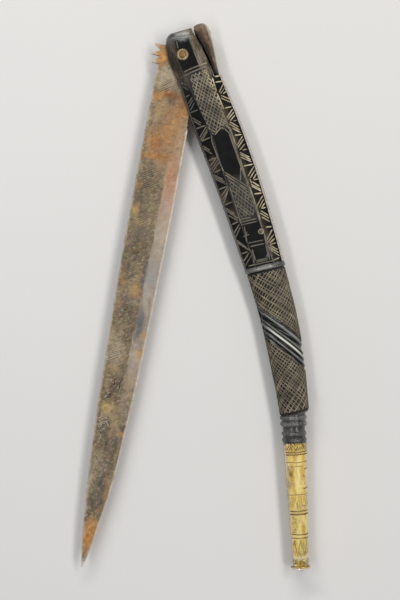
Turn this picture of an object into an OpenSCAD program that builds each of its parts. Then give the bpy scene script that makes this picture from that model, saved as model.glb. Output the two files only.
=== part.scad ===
// Large folding knife with a ratchet back spring.
// X runs from the blade's pivot to the tail, Y towards the handle's back, Z up.
// The origin is on the pivot's axis, at the outer face of the rosette that the knife lies on.

/* [Blade] */
// Length of the blade from the pivot to its tip
blade_l = 285.9; // [270:0.1:300]
// Thickness of the blade at the spine
blade_t = 3; // [2:0.1:3.4]
// Thickness of the blade at its tip
tip_t = 1.2; // [0.8:0.1:1.8]
// Thickness left along the cutting edge
edge_t = 0.5; // [0.3:0.1:1]
// Distance from the pivot line to the straight spine
spine_h = 12.8; // [12.7:0.1:13.6]
// Greatest distance from the pivot line to the cutting edge
edge_h = 11; // [10:0.1:12]
// Distance from the pivot line to the unsharpened edge next to the heel
ricasso_h = 9.6; // [8.5:0.1:10]
// Distance from the pivot to the end of the unsharpened length
ricasso_l = 36; // [30:1:44]
// Radius of the notch that ends the cutting edge
choil_r = 1.3; // [0.6:0.1:2]
// Width of the ground bevel along the cutting edge
bevel_w = 7.5; // [4:0.5:10]
// Radius of the round heel
heel_r = 12.6; // [12:0.1:13.2]
// Distance from the pivot to the tips of the teeth
tooth_r = 17.2; // [16.4:0.1:17.6]
// Distance from the pivot to the valleys between the teeth
valley_r = 13; // [12.2:0.1:13.6]
// Directions of the tooth tips, from the blade's own line
tooth_turns = [-105, -86.5, -71.5];

/* [Motion] */
// Turn of the blade from closed to the pose shown
shown_turn = 24.24; // [15:0.2:60]
// Turn of the blade from closed to fully open
open_turn = 170; // [168:0.5:172]
// Turn that drops the back spring from just clear of the teeth onto the horn
spring_drop = 0.55; // [0.5:0.05:0.6]

/* [Handle] */
// Distance from the pivot to the head's end
head_l = 13.8; // [13:0.1:15]
// Thickness of the faceted horn
horn_t = 16; // [14:0.2:18]
// Thickness of the horn along its hollow and back edges
horn_edge_t = 8; // [6.5:0.2:9]
// Thickness of the horn at the head's end
head_t = 9.4; // [8:0.2:11]
// Thickness of the oval horn
oval_t = 16.6; // [15:0.2:18]
// Half width of the flat facet that the engraving fills
facet_w = 5.2; // [4.4:0.1:5.6]
// Distance from the pivot to the bead between the faceted and the oval horn
bead_x = 122.4; // [118:0.2:126]
// Height of the bead over the oval horn
bead_h = 0.5; // [0.2:0.1:1]
// Distance from the pivot to the end of the oval horn
oval_end_x = 205; // [200:0.5:210]
// Distance from the pivot to the shoulder behind the spring's head
step_x = 14.5; // [13.5:0.1:16]

/* [Spiral band] */
// Start of the spiral band at the front lip of the blade's slot
band_x = 141.5; // [136:0.5:146]
// Length of the spiral band along the handle
band_w = 17; // [13:0.5:18]
// Way that the band moves towards the tail over the front of the handle
band_front = 25; // [20:1:28]
// Way that the band moves towards the tail over the rear of the handle
band_rear = 18; // [12:1:19]
// Share of those ways that goes with the handle's width, while the rest goes with the turn
band_bow = 0.6; // [0:0.05:1]
// Ridges in the spiral band
band_ridges = 4; // [2:1:5]
// Depth of the grooves beside the ridges
band_depth = 0.9; // [0.4:0.1:1.2]

/* [Tail] */
// Height of the tail's axis over the pivot line where the rings start
ring_y = 14.6; // [14:0.1:16]
// Height of the tail's axis over the pivot line at its end
tail_y = 0; // [-0.5:0.1:1]
// Diameter of the two large rings
ring_d = 14.8; // [14:0.1:16]
// Diameter of the two small rings
small_ring_d = 13.8; // [13.2:0.1:14.6]
// Diameter of the neck between the rings
neck_d = 12.2; // [11:0.1:12.8]
// Distance between the two rings of a pair
ring_pitch = 3.4; // [3:0.1:4]
// Radius of the rings' round rims
rim_r = 1.5; // [1.2:0.1:1.6]
// Distance from the first ring to the sheath along the tail's axis
sheath_s = 13.7; // [13:0.1:15]
// Size of the sheath over its corners at the rings
sheath_d = 13.6; // [12.6:0.1:14]
// Size of the sheath over its corners at the end disc
sheath_end_d = 9.2; // [8:0.1:9.8]
// Wall of the sheath at its flats
sheath_wall = 0.5; // [0.3:0.05:0.7]
// Diameter of the end disc
disc_d = 11.5; // [10:0.1:13]
// Thickness of the end disc
disc_t = 0.8; // [0.6:0.1:2]

/* [Back spring] */
// Thickness of the spring's leaf
leaf_t = 3.3; // [2:0.05:3.3]
// Gap between the leaf's back and the horn's back
leaf_inset = 0.35; // [0.2:0.05:0.8]
// Width of the spring's arched head
tile_t = 15.2; // [12:0.2:16]
// Radius of the arch over the spring's head
arch_r = 8.2; // [7.8:0.1:9]
// Radius of the head's round front, seen from the knife's back
front_r = 9.5; // [8:0.1:11]
// Distance from the pivot to the bridge in front of the window for the teeth
bridge_x = 8.9; // [8.7:0.1:9.2]
// Distance from the pivot to the rear end of that window
window_x = 4; // [3:0.1:4.5]
// Distance from the pivot to the end of the leaf behind its rivet
leaf_end_x = 107.6; // [107:0.2:110]

/* [Pins] */
// Diameter of the pivot pin
pivot_d = 3; // [2.5:0.1:4]
// Diameter of the pivot's rosettes
rosette_d = 6.4; // [5.5:0.1:8]
// Thickness of the pivot's rosettes
rosette_t = 0.9; // [0.6:0.1:1.4]
// Diameter of the spring's rivet
rivet_d = 1.8; // [1.4:0.1:2.2]
// Diameter of the rivet's washers
washer_d = 3.2; // [2.8:0.1:3.6]
// Thickness of the rivet's washers
washer_t = 0.5; // [0.3:0.1:0.8]
// Distance from the pivot to the rivet along the handle
rivet_x = 103.2; // [102:0.2:104]
// Height of the rivet over the pivot line
rivet_y = 19.8; // [19.4:0.1:20.2]

/* [Clearances] */
// Gap between the blade and each side of its slot
side_gap = 0.3; // [0.15:0.05:0.5]
// Gap between the closed blade's edge and the bottom of its slot
edge_gap = 0.6; // [0.4:0.1:1]
// Gap between the tooth tips and the spring when it is lifted
tooth_gap = 0.15; // [0.1:0.05:0.3]
// Gap between the seated spring and the horn
seat_gap = 0.25; // [0.15:0.05:0.4]
// Gap between the blade's tip and the end disc
tip_gap = 0.2; // [0.1:0.1:1]
// Radial gap of a pin in a bore that turns on it
running_gap = 0.05; // [0.03:0.01:0.08]
// Radial gap of a pin in a bore that it fills
fixed_gap = 0.02; // [0.01:0.01:0.03]

/* [Hidden] */
// Stations of the horn's hollow edge, as distance from the pivot and height
HOLLOW_EDGE = [[-14, -7], [0, -7.9], [10, -6.2], [21, -4.6], [30, -3.9], [42, -2.7], [64, 0.5],
               [96, 4.3], [128, 7.4], [152, 8.8], [176, 8.5], [206, 7.4]];
// Stations of the horn's back, which the spring's head continues
BACK_EDGE = [[-14, 13.5], [0, 16.6], [15, 18.5], [40, 22.6], [64, 25.5], [96, 27.8],
             [128, 29], [152, 29.4], [176, 27.9], [206, 23.9]];
// Stations of the middle of the engraved facet
FACET_MIDDLE = [[-14, 1], [0, 1.5], [10, 2.9], [42, 10.1], [71, 12.6], [103, 16], [124, 18]];
// Height of the spine from the pivot line as a share of spine_h, by distance from the tip
SPINE_TAPER = [[0, 0.01], [16, 0.225], [36, 0.395], [56, 0.53], [86, 0.676], [126, 0.797],
               [166, 0.906], [206, 0.969], [240, 1], [260, 1], [400, 1]];
// Height of the cutting edge as a share of edge_h, by distance from the tip
EDGE_TAPER = [[0, 0.01], [6, 0.164], [16, 0.327], [26, 0.455], [36, 0.582], [56, 0.764],
              [76, 0.827], [96, 0.91], [126, 0.964], [196, 1], [236, 0.955], [400, 0.93]];
// Inner edge of the spring's leaf
LEAF_INNER = [[6, 14.6], [14, 14.9], [22, 15.8], [40, 18.2], [64, 20.6], [80, 20.8],
              [92, 18.8], [103, 16.4], [108, 16.6]];
// Lower edge of the spring's arched head, from its front to its root
TILE_LOWER = [[-14, 9.4], [-10.6, 9.8], [-5.2, 11.2], [-2, 12.3], [1, 12.9], [7, 14.2], [13.6, 15]];
// Upper edge of the spring's arched head, from its root to its front
TILE_UPPER = [[13.6, 17.1], [8, 17.4], [3, 17.8], [-8, 17.9], [-10.6, 17.7], [-12.4, 17.1],
              [-13.6, 16.2], [-15, 14.9], [-15.7, 13.8], [-15.3, 11.6]];

horn_color = [0.13, 0.14, 0.15];
steel_color = [0.47, 0.41, 0.35];
spring_color = [0.4, 0.33, 0.25];
brass_color = [0.78, 0.62, 0.3];
pin_color = [0.62, 0.47, 0.25];

mid_z = horn_t / 2 + rosette_t;
slot_w = blade_t + 2 * side_gap;
spring_slot_w = leaf_t + side_gap;
head_slot_r = tooth_r + edge_gap;
// Way that a cut runs past the faces it opens, and past the whole knife
past = 1;
outside = 50;
round_fn = 96;
pin_fn = 48;
oval_sides = 24;
// Width of the chamfers at the horn's two ends, along the handle
head_chamfer = 5;
tail_chamfer = 1.6;
// Way that the turned tail runs into the oval horn
tail_inside = 6;
// Start of the straight spine behind the teeth
shoulder_x = 8;
head_front_x = TILE_UPPER[len(TILE_UPPER) - 2][0];
// Way that the head's round front lies past its nose, which leaves a small flat there
nose_flat = 0.15;
ring_start = [oval_end_x + 1.5, ring_y];
tail_slope = (ring_y - tail_y) / (blade_l - ring_start[0]);
disc_x = blade_l + disc_d / 2 * tail_slope + tip_gap;
tail_run = [disc_x, tail_y] - ring_start;
tail_l = norm(tail_run);
tail_turn = atan2(tail_run[1], tail_run[0]);
// Flats of an eight-sided tube lie at this share of its corner radius
flat_share = cos(22.5);
peg_r = sheath_d / 2 * flat_share - sheath_wall;
peg_end_r = sheath_end_d / 2 * flat_share - sheath_wall;

// Smooth curve through stations of a rising x, as a height at x
function station_slope(p, i) =
    let(a = max(i - 1, 0), b = min(i + 1, len(p) - 1))
    (p[b][1] - p[a][1]) / (p[b][0] - p[a][0]);
function station_before(p, x) =
    max(0, min(len(p) - 2, len([for (q = p) if (q[0] <= x) q]) - 1));
function along(p, x) =
    let(i = station_before(p, x), w = p[i + 1][0] - p[i][0], t = (x - p[i][0]) / w)
    (1 + 2 * t) * pow(1 - t, 2) * p[i][1] + t * pow(1 - t, 2) * w * station_slope(p, i)
    + t * t * (3 - 2 * t) * p[i + 1][1] - t * t * (1 - t) * w * station_slope(p, i + 1);

function hollow_y(x) = along(HOLLOW_EDGE, x);
function back_y(x) = along(BACK_EDGE, x);
function spine_y(x) = -spine_h * along(SPINE_TAPER, blade_l - x);
function cutting_y(x) = edge_h * along(EDGE_TAPER, blade_l - x);
function drop_at(x) = max(0, rivet_x - x) * tan(spring_drop);
function on_circle(r, turn) = r * [cos(turn), sin(turn)];

// Closed skin over rings of points, all with the same count
module skin(rings) {
    n = len(rings[0]);
    last = len(rings) - 1;
    sides = [for (j = [0:last - 1]) for (i = [0:n - 1])
        let(a = j * n + i, b = j * n + (i + 1) % n)
        each [[a, b + n, b], [a, a + n, b + n]]];
    polyhedron(
        points = [for (ring = rings) each ring],
        faces = concat([[for (i = [0:n - 1]) i]], sides, [[for (i = [n - 1:-1:0]) last * n + i]])
    );
}

module at_middle() {
    translate([0, 0, mid_z]) children();
}

module plate(thick) {
    linear_extrude(thick, center = true) children();
}

// Pin, bore or ring along Z through the knife's middle
module round_bar(r, length, at = [0, 0]) {
    translate([at[0], at[1], -length / 2]) cylinder(r = r, h = length, $fn = pin_fn);
}

// Turns the tail's axis from +Z to its place
module on_tail() {
    translate([ring_start[0], ring_start[1], 0]) rotate([0, 0, tail_turn]) rotate([0, 90, 0]) children();
}

// Eight-sided section of the faceted horn
function facet_ring(x, share) =
    let(
        t = head_t / 2 + share * (horn_t - head_t) / 2,
        e = horn_edge_t / 2 * (0.75 + 0.25 * share),
        c = along(FACET_MIDDLE, x),
        inset = 0.8 * (1 - share),
        lo = hollow_y(x) + inset,
        hi = back_y(x) - inset
    )
    [[x, c - facet_w, t], [x, lo, e], [x, lo, -e], [x, c - facet_w, -t],
     [x, c + facet_w, -t], [x, hi, -e], [x, hi, e], [x, c + facet_w, t]];

module faceted_horn() {
    skin(concat(
        [facet_ring(-head_l, 0)],
        [for (x = [-head_l + head_chamfer, 0, 10, 21, 32, 42, 53, 64, 80, 96, 110]) facet_ring(x, 1)],
        [facet_ring(bead_x, 1)]
    ));
}

// Turn of a point round the oval, from the front lip of the blade's slot over the front to the rear lip
function oval_turn(i) = 360 * (i + 0.5) / oval_sides;
function oval_point(x, i, grow) =
    let(
        turn = oval_turn(i),
        lo = hollow_y(x),
        hi = back_y(x)
    )
    [x, (lo + hi) / 2 - ((hi - lo) / 2 + grow) * cos(turn), (oval_t / 2 + grow) * sin(turn)];
function oval_ring(x, grow) = [for (i = [oval_sides - 1:-1:0]) oval_point(x, i, grow)];

// Way of the spiral band along the handle at a turn: part even over each face's width, part even in turn
function band_shift(turn) =
    let(over = min(turn, 180), under = max(turn, 180) - 180)
    band_front * (band_bow * (1 - cos(over)) / 2 + (1 - band_bow) * over / 180)
    + band_rear * (band_bow * (1 - cos(under)) / 2 + (1 - band_bow) * under / 180);
function band_ring(x, grow) =
    [for (i = [oval_sides - 1:-1:0]) oval_point(x + band_shift(oval_turn(i)), i, grow)];
function between_ring(share) =
    let(a = oval_ring(bead_x + 3, 0), b = band_ring(band_x, 0))
    [for (i = [0:oval_sides - 1])
        let(x = a[i][0] + share * (b[i][0] - a[i][0])) oval_point(x, oval_sides - 1 - i, 0)];
function after_ring(share) =
    let(a = band_ring(band_x + band_w, 0), b = oval_ring(oval_end_x - tail_chamfer, 0))
    [for (i = [0:oval_sides - 1])
        let(x = a[i][0] + share * (b[i][0] - a[i][0])) oval_point(x, oval_sides - 1 - i, 0)];

module oval_horn() {
    grooves = band_ridges + 1;
    step = band_w / (grooves + band_ridges);
    skin(concat(
        [for (g = [[-2.4, -0.6], [-1.4, -0.5], [-1.2, 0.2], [0, bead_h], [1.2, 0.2], [1.6, 0]])
            oval_ring(bead_x + g[0], g[1])],
        [for (share = [0.15, 0.35, 0.6, 0.85]) between_ring(share)],
        [band_ring(band_x, 0)],
        [for (k = [0:grooves - 1]) each [
            band_ring(band_x + (2 * k + 0.45) * step, -band_depth),
            if (k < band_ridges) band_ring(band_x + (2 * k + 1.1) * step, 0),
            if (k < band_ridges) band_ring(band_x + (2 * k + 1.5) * step, 0)
        ]],
        [band_ring(band_x + band_w, 0)],
        [for (share = [0.25, 0.5, 0.8]) after_ring(share)],
        [oval_ring(oval_end_x - tail_chamfer, 0), oval_ring(oval_end_x, -tail_chamfer)]
    ));
}

// Half section of the rings and the peg, as radius and way along the tail
module tail_section() {
    second_pair = sheath_s - ring_pitch - rim_r;
    translate([0, -tail_inside]) square([(ring_d + neck_d) / 4, tail_inside + ring_pitch]);
    square([neck_d / 2, sheath_s]);
    for (s = [0, ring_pitch]) translate([ring_d / 2 - rim_r, s]) circle(r = rim_r, $fn = pin_fn);
    for (s = [second_pair, second_pair + ring_pitch])
        translate([small_ring_d / 2 - rim_r, s]) circle(r = rim_r, $fn = pin_fn);
    polygon([[0, sheath_s - past], [peg_r, sheath_s - past], [peg_r, sheath_s],
             [peg_end_r, tail_l - fixed_gap], [0, tail_l - fixed_gap]]);
}

module turned_tail() {
    on_tail() rotate_extrude($fn = round_fn)
        intersection() {
            tail_section();
            translate([0, -tail_inside]) square([ring_d, tail_l + tail_inside]);
        }
}

// Space that the closed blade needs, open on the handle's hollow side
module blade_slot() {
    end_x = disc_x + disc_d / 2;
    plate(slot_w) polygon(concat(
        [[-outside, -outside], [-outside, ricasso_h + edge_gap], [ricasso_l - 4, ricasso_h + edge_gap]],
        [for (x = [ricasso_l + 2:12:blade_l - 60]) [x, cutting_y(x) + edge_gap]],
        [for (x = [blade_l - 52:6:blade_l - 4]) [x, cutting_y(x) + edge_gap]],
        [[blade_l, cutting_y(blade_l) + edge_gap], [end_x, edge_gap], [end_x, -outside]]
    ));
}

// Space for the spring's leaf, open on the handle's back
module spring_slot() {
    start_x = 10;
    end_x = leaf_end_x + 2 * seat_gap;
    plate(spring_slot_w) polygon(concat(
        [for (x = [start_x:8:98]) [x, along(LEAF_INNER, x) - seat_gap - drop_at(x)]],
        [[rivet_x, along(LEAF_INNER, rivet_x) - seat_gap], [end_x, along(LEAF_INNER, leaf_end_x) - seat_gap],
         [end_x, outside], [start_x, outside]]
    ));
}

// Everything over the horn's seat for the spring's head
module over_seat() {
    plate(horn_t + 2 * past) polygon(concat(
        [[-outside, TILE_LOWER[0][1] - seat_gap - drop_at(-outside)]],
        [for (p = TILE_LOWER) [p[0], p[1] - seat_gap - drop_at(p[0])]],
        [[step_x, TILE_LOWER[len(TILE_LOWER) - 1][1] - seat_gap - drop_at(step_x)], [step_x, outside],
         [-outside, outside]]
    ));
}

module horn_handle() {
    color(horn_color) at_middle() difference() {
        union() {
            faceted_horn();
            oval_horn();
            turned_tail();
        }
        blade_slot();
        round_bar(head_slot_r, slot_w);
        spring_slot();
        over_seat();
        round_bar(pivot_d / 2 + fixed_gap, horn_t + 2 * past);
        round_bar(rivet_d / 2 + fixed_gap, horn_t + 2 * past, [rivet_x, rivet_y]);
    }
}

// Section of the blade: spine, bevel line, cutting edge. It starts inside the heel, which stands
// over it by the hair that keeps their faces apart
function blade_ring(x) =
    let(
        hair = 0.02,
        from_tip = blade_l - x,
        taper = min(1, from_tip / (blade_l - ricasso_l)),
        half = tip_t / 2 + (blade_t - tip_t) / 2 * pow(taper, 0.45) - hair,
        ground = min(1, max(0.05, (x - ricasso_l) / 20)),
        s = spine_y(x) + hair,
        c = (x <= ricasso_l ? ricasso_h : cutting_y(x)) - hair,
        b = c - max(0.3, min(bevel_w * ground, 0.4 * (c - s))),
        e = edge_t / 2 + (half - edge_t / 2) * (1 - ground)
    )
    [[x, s, -half], [x, b, -half], [x, c, -e], [x, c, e], [x, b, half], [x, s, half]];

module blade_body() {
    from_tip = [0.4, 2, 5, 9, 14, 20, 28, 38, 50, 64, 80, 98, 118, 140, 164, 188, 208];
    skin([for (x = concat([ricasso_l - 4, ricasso_l, ricasso_l + 4, ricasso_l + 20],
        [for (i = [len(from_tip) - 1:-1:0]) blade_l - from_tip[i]])) blade_ring(x)]);
}

module heel_outline() {
    last = len(tooth_turns) - 1;
    first_root = on_circle(tooth_r, tooth_turns[0]);
    circle(r = heel_r, $fn = round_fn);
    polygon([[0, 1 - spine_h], [shoulder_x, -spine_h], [ricasso_l, -spine_h], [ricasso_l, ricasso_h],
             [0, ricasso_h]]);
    polygon(concat(
        [[0, 0], [first_root[0], -heel_r * 0.84]],
        [for (i = [0:last]) each [
            on_circle(tooth_r, tooth_turns[i]),
            if (i < last) on_circle(valley_r, (tooth_turns[i] + tooth_turns[i + 1]) / 2 - 1.5)
        ]],
        [[shoulder_x - 1.8, 0.4 - spine_h], [shoulder_x, -spine_h]]
    ));
}

module blade() {
    color(steel_color) at_middle() rotate([0, 0, -shown_turn]) difference() {
        union() {
            plate(blade_t) heel_outline();
            blade_body();
        }
        round_bar(pivot_d / 2 + running_gap, blade_t + 2 * past);
        round_bar(choil_r, blade_t + 2 * past, [ricasso_l + choil_r, edge_h]);
    }
}

// Space inside the spring's head: the window for the teeth, and the room under its bridge
module head_room() {
    lifted_spine = spine_h + drop_at(head_front_x) + tooth_gap;
    plate(slot_w + 2 * running_gap) {
        translate([-bridge_x, 0]) square([bridge_x + window_x, outside]);
        intersection() {
            circle(r = tooth_r + tooth_gap, $fn = round_fn);
            translate([-outside, 0]) square([outside - bridge_x + past, outside]);
        }
        rotate(-open_turn) translate([bridge_x, -lifted_spine]) square(outside);
    }
}

// Arch over the spring's head, round at its front when seen from behind the knife
module arch() {
    top_y = max([for (p = TILE_UPPER) p[1]]);
    intersection() {
        translate([-outside, top_y - arch_r, 0])
            rotate([0, 90, 0]) cylinder(r = arch_r, h = 2 * outside, $fn = round_fn);
        translate([head_front_x + front_r - nose_flat, 0, 0]) rotate([-90, 0, 0]) linear_extrude(outside) {
            circle(r = front_r, $fn = round_fn);
            translate([0, -tile_t / 2]) square([outside, tile_t]);
        }
    }
}

module arched_head() {
    difference() {
        intersection() {
            plate(tile_t) polygon(concat(TILE_LOWER, TILE_UPPER));
            arch();
        }
        head_room();
    }
}

module leaf() {
    plate(leaf_t) polygon(concat(
        [for (x = [6, 10, 14, 22, 31, 40, 52, 64, 72, 80, 86, 92, 98, 103]) [x, along(LEAF_INNER, x)]],
        [[leaf_end_x - 1.5, along(LEAF_INNER, leaf_end_x)], [leaf_end_x, along(LEAF_INNER, leaf_end_x) + 1.5],
         [leaf_end_x, back_y(leaf_end_x) - leaf_inset]],
        [for (x = [100:-10:20]) [x, back_y(x) - leaf_inset]],
        [[step_x + 1, back_y(step_x + 1) - leaf_inset], TILE_UPPER[0], [6, TILE_UPPER[1][1]]]
    ));
}

module back_spring() {
    color(spring_color) at_middle() difference() {
        union() {
            arched_head();
            leaf();
        }
        round_bar(rivet_d / 2 + running_gap, leaf_t + 2 * past, [rivet_x, rivet_y]);
    }
}

module pivot_pin() {
    color(pin_color) at_middle() round_bar(pivot_d / 2, horn_t + 2 * rosette_t);
}

// Ring seated on a face of the horn, round a pin's end
module seated_ring(outer_d, pin_d, thick, side, at = [0, 0]) {
    at_middle() translate([0, 0, side * (horn_t + thick) / 2]) difference() {
        round_bar(outer_d / 2, thick, at);
        round_bar(pin_d / 2 + fixed_gap, thick + 2 * past, at);
    }
}

module front_pivot_rosette() {
    color(brass_color) seated_ring(rosette_d, pivot_d, rosette_t, 1);
}

module rear_pivot_rosette() {
    color(brass_color) seated_ring(rosette_d, pivot_d, rosette_t, -1);
}

module spring_rivet() {
    color(pin_color) at_middle() round_bar(rivet_d / 2, horn_t + 2 * washer_t, [rivet_x, rivet_y]);
}

module front_rivet_washer() {
    color(brass_color) seated_ring(washer_d, rivet_d, washer_t, 1, [rivet_x, rivet_y]);
}

module rear_rivet_washer() {
    color(brass_color) seated_ring(washer_d, rivet_d, washer_t, -1, [rivet_x, rivet_y]);
}

module finial_sheath() {
    run = tail_l - sheath_s;
    color(brass_color) at_middle() difference() {
        on_tail() translate([0, 0, sheath_s]) difference() {
            cylinder(r1 = sheath_d / 2, r2 = sheath_end_d / 2, h = run, $fn = 8);
            cylinder(r1 = peg_r + fixed_gap, r2 = peg_end_r + fixed_gap, h = run, $fn = pin_fn);
        }
        blade_slot();
    }
}

module tail_disc() {
    color(brass_color) at_middle() on_tail()
        translate([0, 0, tail_l]) cylinder(r = disc_d / 2, h = disc_t, $fn = round_fn);
}

horn_handle();
blade();
back_spring();
pivot_pin();
front_pivot_rosette();
rear_pivot_rosette();
spring_rivet();
front_rivet_washer();
rear_rivet_washer();
finial_sheath();
tail_disc();
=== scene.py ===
"""Looks of the pocket knife: engraved horn, rusted blade, worn brass and steel, floor, lamps and camera.

Lengths are in millimetres in the knife's own plane and become metres when a mesh is made.
Z is counted from the knife's middle plane.
"""
import random
from math import atan2, ceil, cos, degrees, floor, hypot, pi, radians, sin, tan

import bmesh
import bpy
import numpy as np
from mathutils import Matrix, Vector
from mathutils.geometry import delaunay_2d_cdt


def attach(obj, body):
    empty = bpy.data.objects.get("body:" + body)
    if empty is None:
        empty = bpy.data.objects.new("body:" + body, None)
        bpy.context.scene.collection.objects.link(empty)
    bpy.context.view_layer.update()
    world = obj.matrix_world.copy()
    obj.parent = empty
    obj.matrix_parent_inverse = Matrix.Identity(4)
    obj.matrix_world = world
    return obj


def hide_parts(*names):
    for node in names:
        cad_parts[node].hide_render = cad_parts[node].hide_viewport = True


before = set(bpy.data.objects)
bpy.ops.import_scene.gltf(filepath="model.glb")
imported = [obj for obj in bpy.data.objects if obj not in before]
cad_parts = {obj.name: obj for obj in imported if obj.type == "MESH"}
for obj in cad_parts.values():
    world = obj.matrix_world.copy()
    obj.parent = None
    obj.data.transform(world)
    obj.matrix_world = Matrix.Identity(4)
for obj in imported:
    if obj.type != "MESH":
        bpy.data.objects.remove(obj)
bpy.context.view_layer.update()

MM = 0.001
MID_Z = 8.9
random.seed(7)

# ---------------------------------------------------------------- shapes shared with the solids
HOLLOW_EDGE = [(-14, -7), (0, -7.9), (10, -6.2), (21, -4.6), (30, -3.9), (42, -2.7), (64, 0.5),
               (96, 4.3), (128, 7.4), (152, 8.8), (176, 8.5), (206, 7.4)]
BACK_EDGE = [(-14, 13.5), (0, 16.6), (15, 18.5), (40, 22.6), (64, 25.5), (96, 27.8),
             (128, 29), (152, 29.4), (176, 27.9), (206, 23.9)]
FACET_MIDDLE = [(-14, 1), (0, 1.5), (10, 2.9), (42, 10.1), (71, 12.6), (103, 16), (124, 18)]
SPINE_TAPER = [(0, 0.01), (16, 0.225), (36, 0.395), (56, 0.53), (86, 0.676), (126, 0.797),
               (166, 0.906), (206, 0.969), (240, 1), (260, 1), (400, 1)]
EDGE_TAPER = [(0, 0.01), (6, 0.164), (16, 0.327), (26, 0.455), (36, 0.582), (56, 0.764),
              (76, 0.827), (96, 0.91), (126, 0.964), (196, 1), (236, 0.955), (400, 0.93)]
LEAF_INNER = [(6, 14.6), (14, 14.9), (22, 15.8), (40, 18.2), (64, 20.6), (80, 20.8),
              (92, 18.8), (103, 16.4), (108, 16.6)]
TILE_LOWER = [(-14, 9.4), (-10.6, 9.8), (-5.2, 11.2), (-2, 12.3), (1, 12.9), (7, 14.2), (13.6, 15)]

BLADE_L, SPINE_H, EDGE_H, RICASSO_H, RICASSO_L = 285.9, 12.8, 11.0, 9.6, 36.0
BLADE_T, TIP_T, EDGE_T, BEVEL_W = 3.0, 1.2, 0.5, 7.5
HEEL_R, TOOTH_R, VALLEY_R = 12.6, 17.2, 13.0
TOOTH_TURNS = (-105, -86.5, -71.5)
SHOWN_TURN, SPRING_DROP = 24.24, 0.55
HEAD_L, HORN_T, HORN_EDGE_T, HEAD_T, OVAL_T, FACET_W = 13.8, 16.0, 8.0, 9.4, 16.6, 5.2
STEP_X, BEAD_X, OVAL_END_X = 14.5, 122.4, 205.0
RING_START, TAIL_Y = (206.5, 14.6), 0.0
SLOT_W, SPRING_SLOT_W = 3.6, 3.6
EDGE_GAP, SEAT_GAP, FIXED_GAP, PIVOT_GAP = 0.6, 0.25, 0.02, 0.05
PIN_R, RIVET_R, RIVET = 1.5, 0.9, (103.2, 19.8)
ROSETTE_R, ROSETTE_T, WASHER_R, WASHER_T = 3.2, 0.9, 1.6, 0.5
SHEATH_S, SHEATH_D, SHEATH_END_D, SHEATH_WALL = 13.7, 13.6, 9.2, 0.5
DISC_D, DISC_T, TIP_GAP = 11.5, 0.8, 0.2
OUTSIDE = 50.0                                       # well past the knife, for cutters

DISC_X = BLADE_L + DISC_D / 2 * ((RING_START[1] - TAIL_Y) / (BLADE_L - RING_START[0])) + TIP_GAP
tail_run = Vector((DISC_X - RING_START[0], TAIL_Y - RING_START[1]))
TAIL_L, TAIL_DIR = tail_run.length, tail_run.normalized()
TAIL_SIDE = Vector((-TAIL_DIR.y, TAIL_DIR.x))
FLAT_SHARE = cos(radians(22.5))                      # an octagon's flats against its corners
PEG_R = SHEATH_D / 2 * FLAT_SHARE - SHEATH_WALL
PEG_END_R = SHEATH_END_D / 2 * FLAT_SHARE - SHEATH_WALL


def along(stations, x):
    """Smooth curve through stations of a rising x (cubic Hermite), as in the solids."""
    p = np.asarray(stations, float)
    x = np.asarray(x, float)
    i = np.clip(np.searchsorted(p[:, 0], x, side="right") - 1, 0, len(p) - 2)
    lo, hi = np.maximum(np.arange(len(p)) - 1, 0), np.minimum(np.arange(len(p)) + 1, len(p) - 1)
    slope = (p[hi, 1] - p[lo, 1]) / (p[hi, 0] - p[lo, 0])
    w = p[i + 1, 0] - p[i, 0]
    t = (x - p[i, 0]) / w
    return ((1 + 2 * t) * (1 - t) ** 2 * p[i, 1] + t * (1 - t) ** 2 * w * slope[i]
            + t * t * (3 - 2 * t) * p[i + 1, 1] - t * t * (1 - t) * w * slope[i + 1])


def drop_at(x):
    return max(0.0, RIVET[0] - x) * tan(radians(SPRING_DROP))


def spine_y(x):
    return -SPINE_H * along(SPINE_TAPER, BLADE_L - np.asarray(x, float))


def cutting_y(x):
    return EDGE_H * along(EDGE_TAPER, BLADE_L - np.asarray(x, float))


def follow(curve, xs, off=0.0):
    """Points of a curve, moved by off in y."""
    return [(x, float(curve(x)) + off) for x in xs]


def polar(r, turn):
    return (r * cos(radians(turn)), r * sin(radians(turn)))


def unit(values):
    return np.clip(values, 0, 1)


def most(*layers):
    return np.maximum.reduce(layers)


def spots(x, y, rows, reach=1.4):
    """Strongest of the oval spots (x, y, half length, half width, strength), which fade past their edges."""
    return np.max([w * unit(reach - np.hypot((x - a) / ra, (y - b) / rb)) for a, b, ra, rb, w in rows], axis=0)


# ---------------------------------------------------------------- meshes
def link(name, data):
    obj = bpy.data.objects.new(name, data)
    bpy.context.scene.collection.objects.link(obj)
    return obj


def shade(obj, angle):
    mesh = obj.data
    mesh.polygons.foreach_set("use_smooth", [True] * len(mesh.polygons))
    mesh.set_sharp_from_angle(angle=radians(angle))
    mesh.update()
    return obj


def make_object(name, verts, faces, materials=(), indices=None, smooth_angle=28):
    """Mesh object from millimetre points, smooth shaded up to smooth_angle."""
    mesh = bpy.data.meshes.new(name)
    mesh.from_pydata([tuple(c) for c in np.asarray(verts, float) * MM + (0, 0, MID_Z * MM)], [], faces)
    for m in materials:
        mesh.materials.append(m)
    if indices is not None:
        mesh.polygons.foreach_set("material_index", np.asarray(indices, np.int32))
    mesh.validate()
    return shade(link(name, mesh), smooth_angle)


def rework(obj, work, smooth_angle):
    """Runs work on the object's mesh as a bmesh."""
    bm = bmesh.new()
    bm.from_mesh(obj.data)
    work(bm)
    bm.to_mesh(obj.data)
    bm.free()
    return shade(obj, smooth_angle)


def outwards(bm):
    bmesh.ops.recalc_face_normals(bm, faces=bm.faces)


def apply_modifiers(obj):
    graph = bpy.context.evaluated_depsgraph_get()
    before, obj.data = obj.data, bpy.data.meshes.new_from_object(obj.evaluated_get(graph))
    obj.modifiers.clear()
    bpy.data.meshes.remove(before)


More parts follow.
